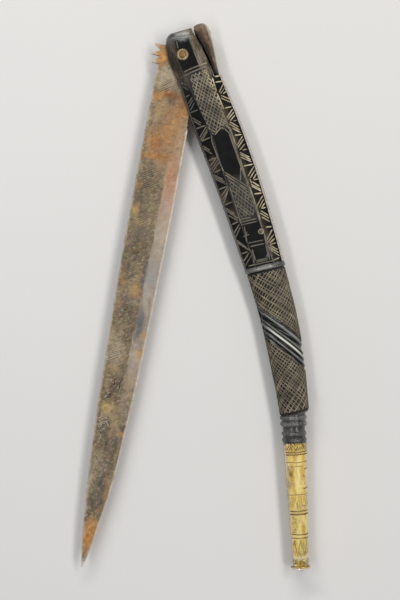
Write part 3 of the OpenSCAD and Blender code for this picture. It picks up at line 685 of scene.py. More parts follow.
def horn_engraving():
    cut = Engraving(0.62, 0.26, 0.09)
    # each stroke is x, y, x, y, ... through its points
    single = [
        # head
        (-8.6, 5.3, 7.2, 7.9), (-8.3, -1.6, -3.6, -1.6), (7.2, 12, 8.9, 0.2, 9.4, -1.4),
        (8.9, 11.4, 10.2, 3, 12.4, -4.6), (15.7, 12.9, 23.8, 13.5), (24.5, 13.6, 34, 15.2),
        # facet's upper boundary and first cartouche
        (44.2, 13.2, 47, 15, 60, 16.4, 66.5, 17.1, 70, 16.2, 74, 15.2), (42.2, 13.8, 45, 16.2, 54, 17.1),
        (62, 17.7, 71.5, 18.4, 77, 19), (46.6, 7, 43.2, 11.2, 44.3, 13.4), (46.4, 5.2, 50, 5, 58, 5.9, 67, 7.5),
        (67, 7.5, 72, 12.6, 77.6, 18.2), (68.6, 7.7, 73.4, 12.4, 79.2, 18), (77.6, 19.3, 90, 20.5, 97, 21),
        (105, 21.2, 110, 21.1, 115, 21.4, 119.2, 21),
        # bars and cells on the facet
        (94.3, 10.3, 94.5, 16.5), (95.8, 10, 95.9, 19.2), (97.4, 9.8, 97.3, 19.4), (107.8, 11.6, 107.9, 20.2),
        (109.9, 12.2, 110, 20.4), (98.3, 11.6, 107, 11.2), (111.3, 12.9, 118.2, 13.5),
        (118.1, 13.4, 118.1, 20.6), (110.4, 20.7, 118, 20.8), (118.9, 13.2, 118.9, 20.4),
        (119.3, 26.6, 119.9, 22, 119.9, 8.6), (101.5, 12.6, 103.5, 11.4), (103.2, 13.4, 103.8, 9.4),
        (75.4, 8.8, 86, 9.6, 97, 10.3),
    ]
    bars = [
        (15.6, 14.2, 15.7, 18), (18.6, 13.8, 18.9, 18.5), (33.3, 15.6, 33.5, 19.6), (49, 17.4, 49.4, 21.7),
        (66.3, 18.4, 66.6, 24.2), (82.5, 20.6, 83, 25.2), (101.4, 22.6, 101.9, 26.3), (31, 1.8, 31.6, -3),
        (40.2, 3.6, 40.9, -2.2), (47.1, 4.6, 48.2, -1), (58.5, 4.9, 59.3, 0.4), (65.4, 6.5, 66.4, 1.7),
        (75.1, 7.8, 75.8, 2.4), (83.9, 8.8, 84.6, 3.8), (95.2, 9.5, 96.1, 4.9), (112.3, 10.9, 112.6, 6.6),
        (22, -1, 23, -3.9),
    ]
    rays = [
        # fans along the back
        (24.6, 14.6, 19.8, 18.5), (25.3, 15.3, 22.2, 18.8), (25.8, 16.4, 24.4, 19), (26.2, 15.2, 29.4, 19.6),
        (27.4, 14.8, 31.2, 19.9), (39, 15.4, 34.8, 20), (40, 15.8, 36.4, 20.3), (41, 16.9, 38.2, 20.6),
        (41.3, 18.7, 41.3, 20.8), (41.2, 16.6, 45.2, 21), (41.9, 15.9, 47, 21.2), (44.6, 17, 48.4, 21.3),
        (55, 17.3, 50.3, 21.8), (56.2, 17.5, 52, 22), (57.6, 18.5, 54.8, 22.3), (57.9, 20, 57.9, 22.6),
        (58.6, 18.2, 62.6, 23), (59.6, 18, 64, 23.4), (61.2, 18, 65.3, 23.6), (72.6, 19.5, 67.8, 24.2),
        (73.8, 20.6, 69.7, 24.5), (74.6, 22, 71.7, 24.7), (74.9, 22.3, 74.9, 25), (73.6, 20.3, 76.6, 20.8),
        (75.6, 21.2, 79.2, 24.7), (76.7, 20.2, 81, 25.1), (77.8, 20.1, 82, 25.2), (89.6, 20.6, 84.2, 25.2),
        (90.6, 21.7, 86.3, 25.3), (91.2, 22.7, 88.3, 25.4), (91, 22.4, 91, 25.6), (92, 22.2, 95.6, 25.8),
        (93.2, 21.5, 97.3, 26), (95.4, 22, 99.3, 26.1), (108.6, 21.5, 103.4, 26.2), (109.8, 22.1, 106.2, 26.4),
        (110.5, 22.8, 108.4, 26.5), (111, 22.8, 111.1, 26.6), (111.4, 22.6, 115, 26.7),
        (112.2, 22, 116.8, 26.8), (113.5, 22.3, 118.4, 26.9),
        # fans along the hollow side
        (14, -4.3, 17, -1.5), (16.6, -4.1, 19.6, -1.2), (23.3, 0.3, 26.9, -3.3), (24.8, 0.2, 28.6, -3.2),
        (26.6, 0.5, 30.6, -2.9), (34.3, -2.7, 38.6, 1.6), (36, -2.5, 39.8, 1.3), (40.6, 4.2, 46.2, -1.3),
        (42, 4.2, 47.6, -1.1), (43.4, 4, 48.6, -0.8), (50.5, -0.6, 54.2, 3), (52, -0.5, 56.2, 3.7),
        (58, 5.9, 62.6, 0.9), (59.4, 6, 64.6, 1.1), (61, 6.2, 66, 1.3), (67, 1.4, 71, 6.4),
        (68.2, 1.5, 72.6, 7), (69.6, 1.6, 74.3, 7.7), (75, 8.3, 80, 2.9), (76.3, 8.4, 82, 3.1),
        (78, 7.2, 84, 3.3), (86.2, 3.9, 91, 8.3), (87.6, 3.9, 93.6, 9.6), (90.4, 4.2, 94.8, 9.4),
        (96.4, 9.6, 101, 5.1), (98, 9.7, 103.6, 5.4), (104.6, 5.6, 110.4, 10.6), (106, 5.7, 111.6, 11.2),
        (112.8, 11.4, 117, 6.9), (114.4, 12, 119.4, 7.4), (110.4, 10.8, 112.6, 12.4, 116, 12.9, 119.4, 12.4),
    ]
    for strokes, width in ((single, 1.0), (bars, 1.2), (rays, 1.0)):
        for p in strokes:
            cut.line([seen(q) for q in zip(p[::2], p[1::2])], width)
    first = inside_polygon([(9.8, 11.2), (11.6, 1.2), (20, 1), (30, 1.8), (38, 3.6), (43, 4.5), (46.2, 6.8),
                            (42.8, 11.2), (43.8, 13.6), (42, 15.4), (36, 15), (25, 13.8), (16, 12.4)])
    second = inside_polygon([(70.2, 8.6), (75, 9.3), (86, 10), (93.8, 10.6), (93.8, 19.4), (88, 19.6), (80.2, 18.2)])
    for inside, box, turn, pitch, width in (
            (first, (9, 0, 48, 16), 44, 1.6, 1.0), (first, (9, 0, 48, 16), -27, 1.77, 1.0),
            (second, (68, 8, 98, 20), 39, 1.6, 1.0), (second, (68, 8, 98, 20), -20, 1.8, 0.8)):
        cut.hatch(inside, box, turn, pitch, width)
    return cut


def horn_faceted():
    x = np.array([-HEAD_L, -12.6, -11.4, -HEAD_L + HEAD_CHAMFER, *np.arange(-6, FACET_END_X - 1, 3), FACET_END_X])
    corner = np.interp(x, [-HEAD_L, -12.6, -11.4], [2.6, 1.0, 0.0])
    slant = np.interp(x, [-HEAD_L, -10], [1, 0])
    outline = list(zip(x + 0.5 * slant, horn_lo(x) + corner))
    outline += reversed(list(zip(x - 0.55 * slant, horn_hi(x) - 0.3 * corner)))
    lines = [list(zip(x[2:], along(FACET_MIDDLE, x[2:]) + side * FACET_W + off)) for side in (-1, 1)
             for off in (-ARRIS - 0.35, -ARRIS, ARRIS, ARRIS + 0.35)]
    for d in (RIM[1][0], RIM[2][0], 1.3):
        lines += [list(zip(x[3:], horn_lo(x[3:]) + d)), list(zip(x[3:], horn_hi(x[3:]) - d))]
    lines.append([(x[3], y) for y in np.linspace(horn_lo(x[3]) + 1, horn_hi(x[3]) - 1, 6)])
    points = [(a, y) for a in x[4:-1] for y in np.linspace(horn_lo(a) + 2, horn_hi(a) - 2, 7)]
    return two_faced("horn_handle_look", outline, lines, points, horn_height, horn_engraving(), [HORN, GROOVE])


# ---------------------------------------------------------------- horn: oval part with its spiral band
GIRTH = 58.0
BAND_X, BAND_W = 141.5, 17.0
BAND_FRONT, BAND_REAR, BAND_BOW = 25.0, 18.0, 0.6
BAND_INSET = [(0, 0), (0.9, 0.55), (1.8, 0.12), (3.1, 0.75), (4.5, 0.9), (5.8, 0.6), (7, 0.14), (8.3, 0.66), (9.8, 0),
              (11.8, 0.84), (13.7, 0.1), (15.4, 0.78), (17, 0)]
OVAL_START_X = 120.2
TAIL_CHAMFER = 2.2
SKIN = 0.12                                          # keeps the smooth oval inside the solid's faceted one


def band_shift(turn):
    """Way of the spiral band along the handle at a turn round it."""
    def part(t):
        return BAND_BOW * (1 - np.cos(np.radians(t))) / 2 + (1 - BAND_BOW) * t / 180
    return BAND_FRONT * part(np.minimum(turn, 180)) + BAND_REAR * part(np.maximum(turn, 180) - 180)


def band_profile(phase):
    """Inset of the band: uneven grooves with sharp ridges between them."""
    u = np.clip(phase - BAND_X, 0, BAND_W)
    return np.maximum(along(BAND_INSET, u), 0) * ((u > 0) & (u < BAND_W))


def bead_profile(x):
    """Outward height of the bead, with the grooves beside it."""
    u = np.asarray(x, float) - (BEAD_X + 0.2)
    bead = 0.5 * np.sqrt(unit(1 - (u / 1.5) ** 2))
    groove = -0.45 * np.exp(-((u - 1.9) / 0.3) ** 2) - 0.7 * np.exp(-((u + 1.9) / 0.4) ** 2)
    return np.where(np.abs(u) < 1.5, bead, 0) + groove


def oval_place(x, g, depth):
    turn = 360 * g / GIRTH
    lo, hi = along(HOLLOW_EDGE, x), along(BACK_EDGE, x)
    end = unit((x - (OVAL_END_X - TAIL_CHAMFER)) / TAIL_CHAMFER)
    grow = (bead_profile(x) - band_profile(x - band_shift(turn)) - depth
            - TAIL_CHAMFER * (1 - np.sqrt(1 - end ** 2 * 0.96)) - SKIN)
    c, s = np.cos(np.radians(turn)), np.sin(np.radians(turn))
    return np.column_stack([x, (lo + hi) / 2 - ((hi - lo) / 2 + grow) * c, (OVAL_T / 2 + grow) * s])


def horn_oval():
    cut = Engraving(0.44, 0.22, 0.08)
    start, end = 125.0, OVAL_END_X - TAIL_CHAMFER

    def carved(x, g):
        phase = x - float(band_shift(360 * g / GIRTH))
        return start < x < end and not BAND_X - 0.3 < phase < BAND_X + BAND_W + 0.3
    for turn, pitch in ((-44, 1.45), (42, 1.6)):
        cut.hatch(carved, (start, 1.2, end, GIRTH - 1.2), turn, pitch, wander=0.2)
    turns = np.linspace(0, 360, 61)
    rings = [OVAL_START_X + 0.4, 120.9, 121.3, 121.7, 122.1, 122.6, 123.1, 123.5, 123.9, 124.2, 124.5, 124.9, 125.4]
    rings += [OVAL_END_X - d for d in (TAIL_CHAMFER, 1.1, 0.6, 0.25)]
    lines = [[(x, t * GIRTH / 360) for t in turns[::2]] for x in rings]
    lines += [[(phase + float(band_shift(t)), t * GIRTH / 360) for t in turns]
              for phase in np.linspace(BAND_X, BAND_X + BAND_W, 46)]
    points = [(x, t * GIRTH / 360) for x in np.arange(128, OVAL_END_X - 3, 3.5) for t in turns[1:-1:2]]
    return tube("horn_oval_part", (OVAL_START_X, OVAL_END_X), GIRTH, lines, points, oval_place, cut, [HORN, GROOVE])


def horn_tail():
    """Turned rings, two large and two small, and the peg in the sheath."""
    rim, pitch, big, small, shallow, neck = 1.5, 3.4, 7.4, 6.9, 6.75, 6.1
    third = SHEATH_S - pitch - rim

    def ring(at, r, start, end, before, after):
        """Half round rim on a ring of radius r, no deeper than the grooves before and after it."""
        turns = np.radians(np.linspace(start, end, 9))
        return [(at + rim * sin(a), max(r - rim + rim * cos(a), before if a < 0 else after)) for a in turns]
    profile = [(-6, shallow - 0.6), *ring(0, big, -75, 75, shallow, shallow), (1.7, shallow - 0.15),
               *ring(pitch, big, -75, 85, shallow, neck), (5.6, neck), (third - 1.75, neck),
               *ring(third, small, -85, 75, neck, neck), (third + 1.7, 6.3),
               *ring(third + pitch, small, -75, 85, neck, neck),
               (SHEATH_S, neck), (SHEATH_S + 0.01, PEG_R), (TAIL_L - FIXED_GAP, PEG_END_R)]
    return lathe("horn_tail", profile, on_tail, [HORN])


def blade_slot_points():
    end_x = DISC_X + DISC_D / 2
    xs = [*np.arange(RICASSO_L + 2, BLADE_L - 60 + 0.1, 12), *np.arange(BLADE_L - 52, BLADE_L - 3.9, 6), BLADE_L]
    return [(-OUTSIDE, -OUTSIDE), (-OUTSIDE, RICASSO_H + EDGE_GAP), (RICASSO_L - 4, RICASSO_H + EDGE_GAP),
            *follow(cutting_y, xs, EDGE_GAP), (end_x, EDGE_GAP), (end_x, -OUTSIDE)]


def spring_slot_points():
    start, leaf_end, end_x = 10.0, 107.6, 107.6 + 2 * SEAT_GAP
    pts = [(x, float(along(LEAF_INNER, x)) - SEAT_GAP - drop_at(x)) for x in np.arange(start, 98.1, 8)]
    return pts + [(RIVET[0], float(along(LEAF_INNER, RIVET[0])) - SEAT_GAP),
                  (end_x, float(along(LEAF_INNER, leaf_end)) - SEAT_GAP), (end_x, OUTSIDE), (start, OUTSIDE)]


def over_seat_points():
    lower = [(-OUTSIDE, TILE_LOWER[0][1]), *TILE_LOWER, (STEP_X, TILE_LOWER[-1][1])]
    return [(x, y - SEAT_GAP - drop_at(x)) for x, y in lower] + [(STEP_X, OUTSIDE), (-OUTSIDE, OUTSIDE)]


def build_horn():
    horn = horn_faceted()
    boolean(horn, horn_oval(), "UNION")
    boolean(horn, horn_tail(), "UNION")
    for cutter in (prism(blade_slot_points(), SLOT_W / 2), bar(TOOTH_R + EDGE_GAP, SLOT_W / 2),
                   prism(spring_slot_points(), SPRING_SLOT_W / 2), prism(over_seat_points(), HORN_T),
                   bar(PIN_R + FIXED_GAP, HORN_T), bar(RIVET_R + FIXED_GAP, HORN_T, RIVET, 32)):
        boolean(horn, cutter)
    shade(horn, 28)
    co = points_of(horn)
    x, y, z = co.T
    way, aside = tail_way(co)
    r = np.hypot(aside, z)
    lo, hi, c = horn_lo(x), horn_hi(x), along(FACET_MIDDLE, np.clip(x, -14, 124))
    above, height = y - c - FACET_W, (y - lo) / (hi - lo)
    # regions
    front, oval = x < FACET_END_X, (x > FACET_END_X + 3) & (x < OVAL_END_X - 1)
    outer = np.abs(z) > SLOT_W / 2 + 0.4
    facet = front & (np.abs(y - c) < FACET_W)
    hatched = facet & (((x > 9) & (x < 45)) | ((x > 70) & (x < 97)))
    head = front & (x < 13) & (above > -0.2) & (y < hi - 1.4)
    phase = x - band_shift(np.degrees(np.arctan2(np.abs(z) / OVAL_T * 2, ((lo + hi) / 2 - y) / ((hi - lo) / 2))))
    band = oval & (phase > BAND_X) & (phase < BAND_X + BAND_W) & (z > 0)
    bead = (x > FACET_END_X) & (x < FACET_END_X + 2.8) & (bead_profile(x) > 0.05)
    turned = (x > OVAL_END_X - 1) & (way < SHEATH_S) & (r > PEG_R)
    # worn edges, with painted rim light along the back edge and on the oval's sides, weaker on the hollow side, and
    # arrises paler on the lit back side
    back_rim = unit((1.25 - (hi - y)) / 0.3) * (x > STEP_X - 0.5) * np.interp(hi - y, [0.1, 0.3], [0.2, 1])
    hollow_rim = 0.4 * unit(1.0 - (y - lo)) * (x > 8) * np.interp(y - lo, [0.1, 0.3], [0.3, 1])
    arris = (np.where(y > c, np.where(x > 40, 0.42, 0.3), 0.12) * (np.abs(z) > HORN_T / 2 - 0.6)
             * unit(1.2 - np.abs(np.abs(y - c) - FACET_W) / ARRIS))
    # painted rim light on the oval's sides, weaker on the hollow side
    ends = np.where(oval, 0.7 * unit((np.abs(y - (lo + hi) / 2) / ((hi - lo) / 2) - 0.93) / 0.06), 0)
    ends[y < (lo + hi) / 2] *= 0.3
    worn = np.where(front, most(back_rim, hollow_rim, arris, 0.45 * (np.abs(x - STEP_X) < 0.3)), ends * ~band)
    # painted highlights on the band's crests and on the bead
    crest = np.max([w * unit(1.2 - np.abs(phase - BAND_X - u) / wide) for u, w, wide in
                    ((2.1, 0.34, 1.1), (7, 0.16, 0.7), (9.7, 1.1, 0.95), (13.7, 0.2, 0.7))], axis=0)
    crest *= band * np.clip(height / 0.25, 0.3, 1) * np.interp(height, [0.1, 0.35, 0.8, 1], [0.25, 0.8, 0.9, 0.4])
    glint = 0.32 * np.exp(-((x - FACET_END_X - 1.6) / 0.65) ** 2) * unit(1.5 - np.abs(height - 0.42) / 0.22) * (z > 0)
    # painted sheen, partly polish: the bead, the band's crests, the rings' tops and their lit back-side edges
    buffed = most(0.8 * bead, 0.7 * turned * unit((aside / np.maximum(r, 1) - 0.85) / 0.1) * (r > 6.5),
                  band * unit(1 - band_profile(phase) / 0.55), turned * np.clip((r - 6.0) / 1.3, 0.5, 0.95))
    # dirt and dust
    soil = most(head, 0.5 * (x > STEP_X) * unit((above + 0.3) / 0.4) * unit(1 - above / 3.4), spots(x, y, [
        (12, 11.5, 5, 2, 0.8), (37, 15, 6, 2.4, 0.6), (62, 3.4, 4, 2.4, 0.6), (90, 8, 4, 2, 0.6),
        (14, -2, 4, 2.4, 0.4), (81, 5, 4, 2, 0.4), (-11, 8, 2, 3, 0.8), (85, 14, 12, 5, 0.12),
        (-3, -5, 7, 2.2, 0.5), (9, -4.5, 5, 2, 0.45)]))
    blurred = 0.2 + 0.45 * unit((height - 0.45) / 0.25) * ((x < 160) | (x > 182))
    dust = np.where(oval & ~bead, np.where(band, 0.0, blurred),
                    np.select([front & (x < 12) & (above > 0), hatched], [1.0, 0.1], 0.03))
    paint(horn, gleam=np.where(front, 0, np.maximum(crest, glint)), soil=np.where(front & outer, soil, 0),
          worn=np.where(outer, worn, 0), dust=outer * dust, buffed=buffed,
          matt=np.where(front, np.where(hatched | head, 0.6, 0), oval & ~bead & ~band),
          # strokes painted paler as lit on the back bevel, and a little paler on the head's cross lines and on the
          # oval
          fresh=np.where((x > 6) & (x < 12) & (y > c), 0.45,
                         np.where(front & (x > 12), unit((above - 0.5) / 1.6), 0.08 * oval)),
          # strokes darker: painted shade on the hollow side bevel, and dimmer strokes on the head and in the hatched
          # fields
          faint=np.select([front & (x < 5), front & (above < -2 * FACET_W), facet & ~hatched & (x > 95),
                           hatched & (x > 60), hatched],
                          [0.75, np.interp(x, [26, 52], [0.78, 0.3]), 0.55, 0.42, 0.16], 0),
          # scratched streaks on the head's end chamfer, painted paler towards the back side as lit
          scored=unit((-8.4 - x) / 1.0) * np.clip(0.35 + (y + 3) / 5, 0.35, 1) * outer)
    hand_in(horn, "handle", "horn_handle")


# ---------------------------------------------------------------- blade
BLOTCHES = {
    # centre x, centre y, half length, half width, strength, in the blade's own frame
    "rust": [(-4, -12, 2, 2, 0.6), (1, -12, 2, 2.4, 0.7), (5.6, -12, 2, 2, 0.6), (21.5, -6, 1.6, 4, 1),
        (24, -9, 3, 3, 0.6), (30, 4, 5, 4, 0.6), (31, -2, 3, 3, 0.5), (47, -6, 6, 4, 0.6),
        (56.3, -4, 1.5, 9, 0.9), (41, 1, 9, 5, 0.5), (3, -10, 4, 2, 1), (66, 6.5, 9, 3, 0.4),
        (130, 0, 4, 2.4, 0.3), (154, 9, 1.6, 1.2, 0.6), (164, 9, 2.4, 1.6, 0.6), (267, 0.8, 8.5, 3.2, 1),
        (253, 2.4, 1.3, 1.2, 0.6), (126, -8, 5, 2, 0.25), (242, 5.4, 6, 1.2, 0.5), (210, 6.6, 1.4, 1.6, 0.9),
        (75, -10, 3, 1.5, 0.4)],
    "gold": [(110, 8.6, 2, 0.8, 0.6), (101, 8.9, 3, 0.8, 0.7), (188, 7, 3, 1, 0.5), (87, -9.3, 3, 1.6, 1),
        (30, -6, 6, 3, 0.6), (196.5, -3.2, 4, 3.4, 1), (131, -1, 4, 2.6, 0.7), (155, 9, 2.4, 1.4, 0.8),
        (164.5, 8, 3, 2, 0.9), (203, 3, 7, 2, 0.4), (175, -4, 2, 3, 0.5), (0.5, -14, 6, 2, 0.8),
        (93, -6, 3, 3, 0.4), (180, 6, 6, 2, 0.4)],
    "tan": [(44, 2, 18, 10, 1), (28, 4, 6, 6, 0.8), (50, -6, 9, 5, 0.9), (3, -12, 9, 4, 0.8)],
    "slate": [(148.5, 5, 8, 2, 1), (122, 2.4, 9, 1, 0.8), (236, 1, 14, 2, 0.5), (31, -5, 4, 2.4, 0.3),
        (34, -1, 3, 2.4, 0.35)],
    "ember": [(267.5, 0.9, 8, 3.2, 0.9), (49, -6.5, 5, 2.4, 0.45), (23.5, -9.5, 2, 2.4, 0.6),
        (56.5, -6, 1.2, 4, 0.6), (1, -11.5, 5, 1.2, 0.5)],
    "mottled": [(186, -3, 12, 5, 1), (208, -3, 12, 6, 1), (230, -2, 14, 5, 0.7), (150, -5, 12, 5, 0.8),
        (120, -3, 12, 5, 0.5), (76, -4, 10, 5, 0.3), (50, -6, 8, 4, 0.7), (210, 4, 12, 3, 0.5),
        (256, 0, 6, 4, 0.7)],
    "umber": [(22, -1, 1.8, 5, 1), (47, -6, 7, 2, 0.4), (56, -2, 1.2, 5, 0.5), (26, 5, 2, 2, 0.6),
        (23, -3, 3, 1, 0.6), (50, -2, 5, 1.5, 0.4)],
    "pale": [(12, -7, 6, 6, 1), (-4.4, -15, 1.4, 3, 1), (0.8, -15.5, 1.2, 2.4, 0.9), (5.6, -15, 1.4, 3, 1),
        (165, -5.5, 8, 4, 0.9), (283, 0.5, 4, 2, 0.6), (50, 8, 12, 2, 0.4), (14, 4, 5, 4, 0.4),
        (229, -3.5, 8, 2, 0.5), (137, -1, 2, 4, 0.4), (161, -8, 8, 2, 0.6), (90, 8, 8, 2, 0.4)],
    "dark": [(60.5, -7.5, 2.4, 3, 0.5), (69, -5, 7, 5, 0.6), (148.5, 5, 8, 2.2, 1), (104, -3, 10, 5, 0.45),
        (121, 2.4, 8, 0.9, 0.9), (183, 0, 4, 4, 0.9), (190, -3.5, 3, 2.4, 0.9), (138, -3, 6, 4, 0.45),
        (144, -1, 3, 2, 0.5), (201, -7, 5, 1.4, 0.6), (208, -3.4, 5, 3.4, 0.75), (226, 4.5, 12, 1.8, 0.8),
        (241, 1.6, 10, 3, 1), (208.5, -4, 1.4, 1.2, 0.9), (248, -1, 8, 2.4, 0.8), (33, -4, 4, 2.4, 0.35),
        (29, 5, 4, 2, 0.35), (256, -1, 4, 2.4, 0.7), (26, -1, 3, 3, 0.3), (180, 2, 12, 0.7, 0.5),
        (150, 1.6, 20, 0.6, 0.6), (280, 0, 3, 0.8, 0.4), (80, -5, 6, 5, 0.35), (122, -4, 6, 5, 0.3),
        (216, -2, 5, 3, 0.3), (188, 5.5, 9, 2.5, 0.3), (206, 5, 11, 3, 0.35), (226, 3, 12, 3, 0.3),
        (244, 1, 9, 3.5, 0.45), (22, -3, 5, 5, 0.2)],
    "blue": [(122, 6.6, 9, 3.4, 1)],
    "violet": [(98.5, -4, 4, 4, 1), (135, -4, 3, 3, 0.6), (214, 4.5, 4, 3, 0.8), (191, -3, 4, 3, 0.6),
        (80, 2, 5, 2, 0.3)],
    "filed": [(69, -5, 7, 6, 0.9), (94, -3, 8, 6, 0.5), (114, -5, 8, 6, 0.3), (167, -5, 9, 4.5, 0.65),
        (140, -5, 8, 5, 0.25)],
}


def blade_outline():
    root = (TOOTH_R * cos(radians(TOOTH_TURNS[0])) - 0.25, -HEEL_R * 0.84)
    pts = [p for p in (polar(HEEL_R, a) for a in range(150, 251, 6)) if p[1] > root[1]] + [root]
    for k, turn in enumerate(TOOTH_TURNS):
        x, y = polar(TOOTH_R, turn)
        pts += [(x - 0.22, y + 0.15), (x + 0.22, y + 0.1)]
        if k + 1 < len(TOOTH_TURNS):
            next_x, next_y = polar(TOOTH_R, TOOTH_TURNS[k + 1])
            low_x, low_y = polar(VALLEY_R, (turn + TOOTH_TURNS[k + 1]) / 2 - 1.5)
            pts += [(x * 0.45 + low_x * 0.55 - 0.12, y * 0.45 + low_y * 0.55 + 0.25),
                    (low_x - 0.3, low_y - 0.05), (low_x + 0.35, low_y - 0.05),
                    (next_x * 0.45 + low_x * 0.55 + 0.1, next_y * 0.45 + low_y * 0.55 + 0.1)]
    xs = [*np.arange(12, BLADE_L - 40, 4), *np.arange(BLADE_L - 38, BLADE_L - 0.5, 2)]
    end_x = BLADE_L - 0.6
    pts += [(6.2, 0.4 - SPINE_H), (8.0, -SPINE_H), *follow(spine_y, xs + [end_x]), *follow(cutting_y, [end_x])]
    notch_x, notch_r = RICASSO_L + 1.3, 1.3
    pts += follow(cutting_y, [x for x in reversed(xs) if x > notch_x + 2])
    for a in range(-10, -171, -20):
        x, y = notch_x + notch_r * cos(radians(a)), EDGE_H + notch_r * sin(radians(a))
        if y < (float(cutting_y(x)) if x > RICASSO_L else RICASSO_H):
            pts.append((x, y))
    return pts + [(RICASSO_L - 0.2, RICASSO_H), (0.0, RICASSO_H)] + [polar(HEEL_R, a) for a in range(132, 149, 6)]


def blade_engraving():
    """File strokes at the heel, and a worn scroll and zigzags further out."""
    cut = Engraving(0.34, 0.13, 0.08)
    for k in range(5):
        cut.line([(12.6 + 1.35 * k, -3.2 + 0.25 * k), (17.6 + 1.2 * k, -8.9 + 0.1 * k)], 1.0 if k % 2 else 0.8)
    cut.line([(7.0, -6.3), (8.1, -6.3)], 2.4)
    for at_x, at_y, r, start, stop in ((207.2, -3.0, 2.7, 110, 350), (207.0, -3.2, 1.5, 160, 400),
                                       (206.2, -2.4, 3.6, 140, 250), (201.2, -7.2, 1.8, 10, 170),
                                       (213.0, -5.2, 1.6, 20, 160)):
        cut.line([(at_x + r * (1 + 0.1 * sin(a / 23)) * cos(radians(a)),
                   at_y + r * (1 + 0.12 * sin(a / 31)) * sin(radians(a))) for a in np.linspace(start, stop, 9)], 1.15)
    for p in ([(176.5, 2.6), (178.5, 1.4), (180.5, 2.0), (182.5, 0.4), (184.5, 1.3), (187.5, 0.6)],
              [(179.5, -0.8), (181.0, -2.4), (183.5, -1.8), (184.5, -3.6)],
              [(187.5, -1.4), (189.0, -3.4), (190.8, -2.6), (191.4, -5)]):
        cut.line(p, 1.2)
    return cut


def bevel_y(x):
    """Upper border of the ground bevel, slightly wavy."""
    x = np.asarray(x, float)
    s, c = spine_y(x), cutting_y(x)
    ground = np.clip((x - RICASSO_L) / 20, 0.05, 1)
    wave = 0.25 * np.sin(x * 0.19) + 0.15 * np.sin(x * 0.43 + 1)
    return c - np.maximum(0.3, np.minimum(BEVEL_W * ground, 0.4 * (c - s))) + wave * ground


def blade_height(x, y):
    """Half thickness of the blade over (x, y)."""
    half = TIP_T / 2 + (BLADE_T - TIP_T) / 2 * unit((BLADE_L - x) / (BLADE_L - RICASSO_L)) ** 0.45
    behind, c, b = x > RICASSO_L, np.where(x > RICASSO_L, cutting_y(x), RICASSO_H), bevel_y(x)
    e = EDGE_T / 2 + (half - EDGE_T / 2) * (1 - unit((x - RICASSO_L) / 20))
    z = half + (e - half) * np.where(behind, unit((y - b) / np.maximum(c - b, 0.2)), 0)
    return z - 0.3 * unit(1 - np.where(x > 8, y - spine_y(x), 5) / 0.45)


def build_blade():
    outline, cut = blade_outline(), blade_engraving()
    bevel_x = [*RICASSO_L + np.array((2, 8, 14)), *np.arange(RICASSO_L + 20, BLADE_L - 8, 5), BLADE_L - 5]
    lines = [follow(bevel_y, bevel_x), follow(spine_y, np.arange(9, BLADE_L - 10, 4), 0.45)]
    lines += [follow(cutting_y, np.arange(RICASSO_L + 6, BLADE_L - 12, 4), -d) for d in (0.5, 1.1)]
    inside, points = inside_polygon(outline), []
    for x in np.arange(-12, BLADE_L, 1.3):
        for y in np.arange(-16, 11, 1.3):
            p = (x + random.uniform(-0.3, 0.3), y + random.uniform(-0.3, 0.3))
            if inside(*p):
                points.append(p)
    blade = two_faced("blade_look", outline, lines, points, blade_height, cut, [BLADE, CUT], 20)
    co = points_of(blade)
    x, y, z = co.T
    pits = sum(np.sin(x * a + p) * np.sin(y * b + q) * s for a, b, p, q, s in
               [(1.9, 2.3, 0, 1, .02), (3.1, 1.3, 2, 0, .015), (0.7, 0.9, 1, 2, .02), (0.31, 0.5, 3, 1, .025)])
    co[:, 2] = np.where(np.abs(z) > 0.35, z - np.sign(z) * np.maximum(pits, 0), z)
    top = np.where(x > RICASSO_L, cutting_y(x), RICASSO_H)
    ground = np.interp(x, [42, 64, 172, 184, 240, 285], [0, 1, 1, 0.5, 0.25, 0.1])
    paint(blade, **{name: spots(x, y, rows, 1.45) for name, rows in BLOTCHES.items()}, cool=(x - 72) / 26,
          bevel=unit((y - bevel_y(x)) / 2.0 + 0.5) * ground, scroll=0.75 * ((x > 195) & (x < 218)),
          worn=most(np.where(x > 8, unit(1.6 - (y - spine_y(x)) / 0.45), 0),
                    np.where(x > RICASSO_L + 3, unit(1.5 - (top - y) / 0.7), 0),
                    0.8 * unit((np.hypot(x, y) - VALLEY_R - 1.0) / 2.0) * (x < 7)))
    turn = np.array(Matrix.Rotation(radians(-SHOWN_TURN), 3, "Z"))
    blade.data.vertices.foreach_set("co", ((co @ turn.T + (0, 0, MID_Z)) * MM).ravel())
    boolean(blade, bar(PIN_R + PIVOT_GAP, BLADE_T, count=48))
    shade(blade, 20)
    hand_in(blade, "blade", "blade")


# ---------------------------------------------------------------- brass sheath, disc, pins
FACE_GIRTH = 4.0                                     # each of the sheath's eight faces in the domain


def sheath_radius(share):
    return SHEATH_D / 2 + (SHEATH_END_D - SHEATH_D) / 2 * share


def sheath_place(s, g, depth):
    v = g / FACE_GIRTH - 2.0                         # faces from the front corner
    k = np.floor(v)
    f = v - k
    r = sheath_radius(unit((s - SHEATH_S) / (TAIL_L - SHEATH_S))) - depth
    a0, a1 = np.radians(45 * k), np.radians(45 * (k + 1))
    return np.column_stack(on_tail(s, r * ((1 - f) * np.sin(a0) + f * np.sin(a1)),
                                   r * ((1 - f) * np.cos(a0) + f * np.cos(a1))))


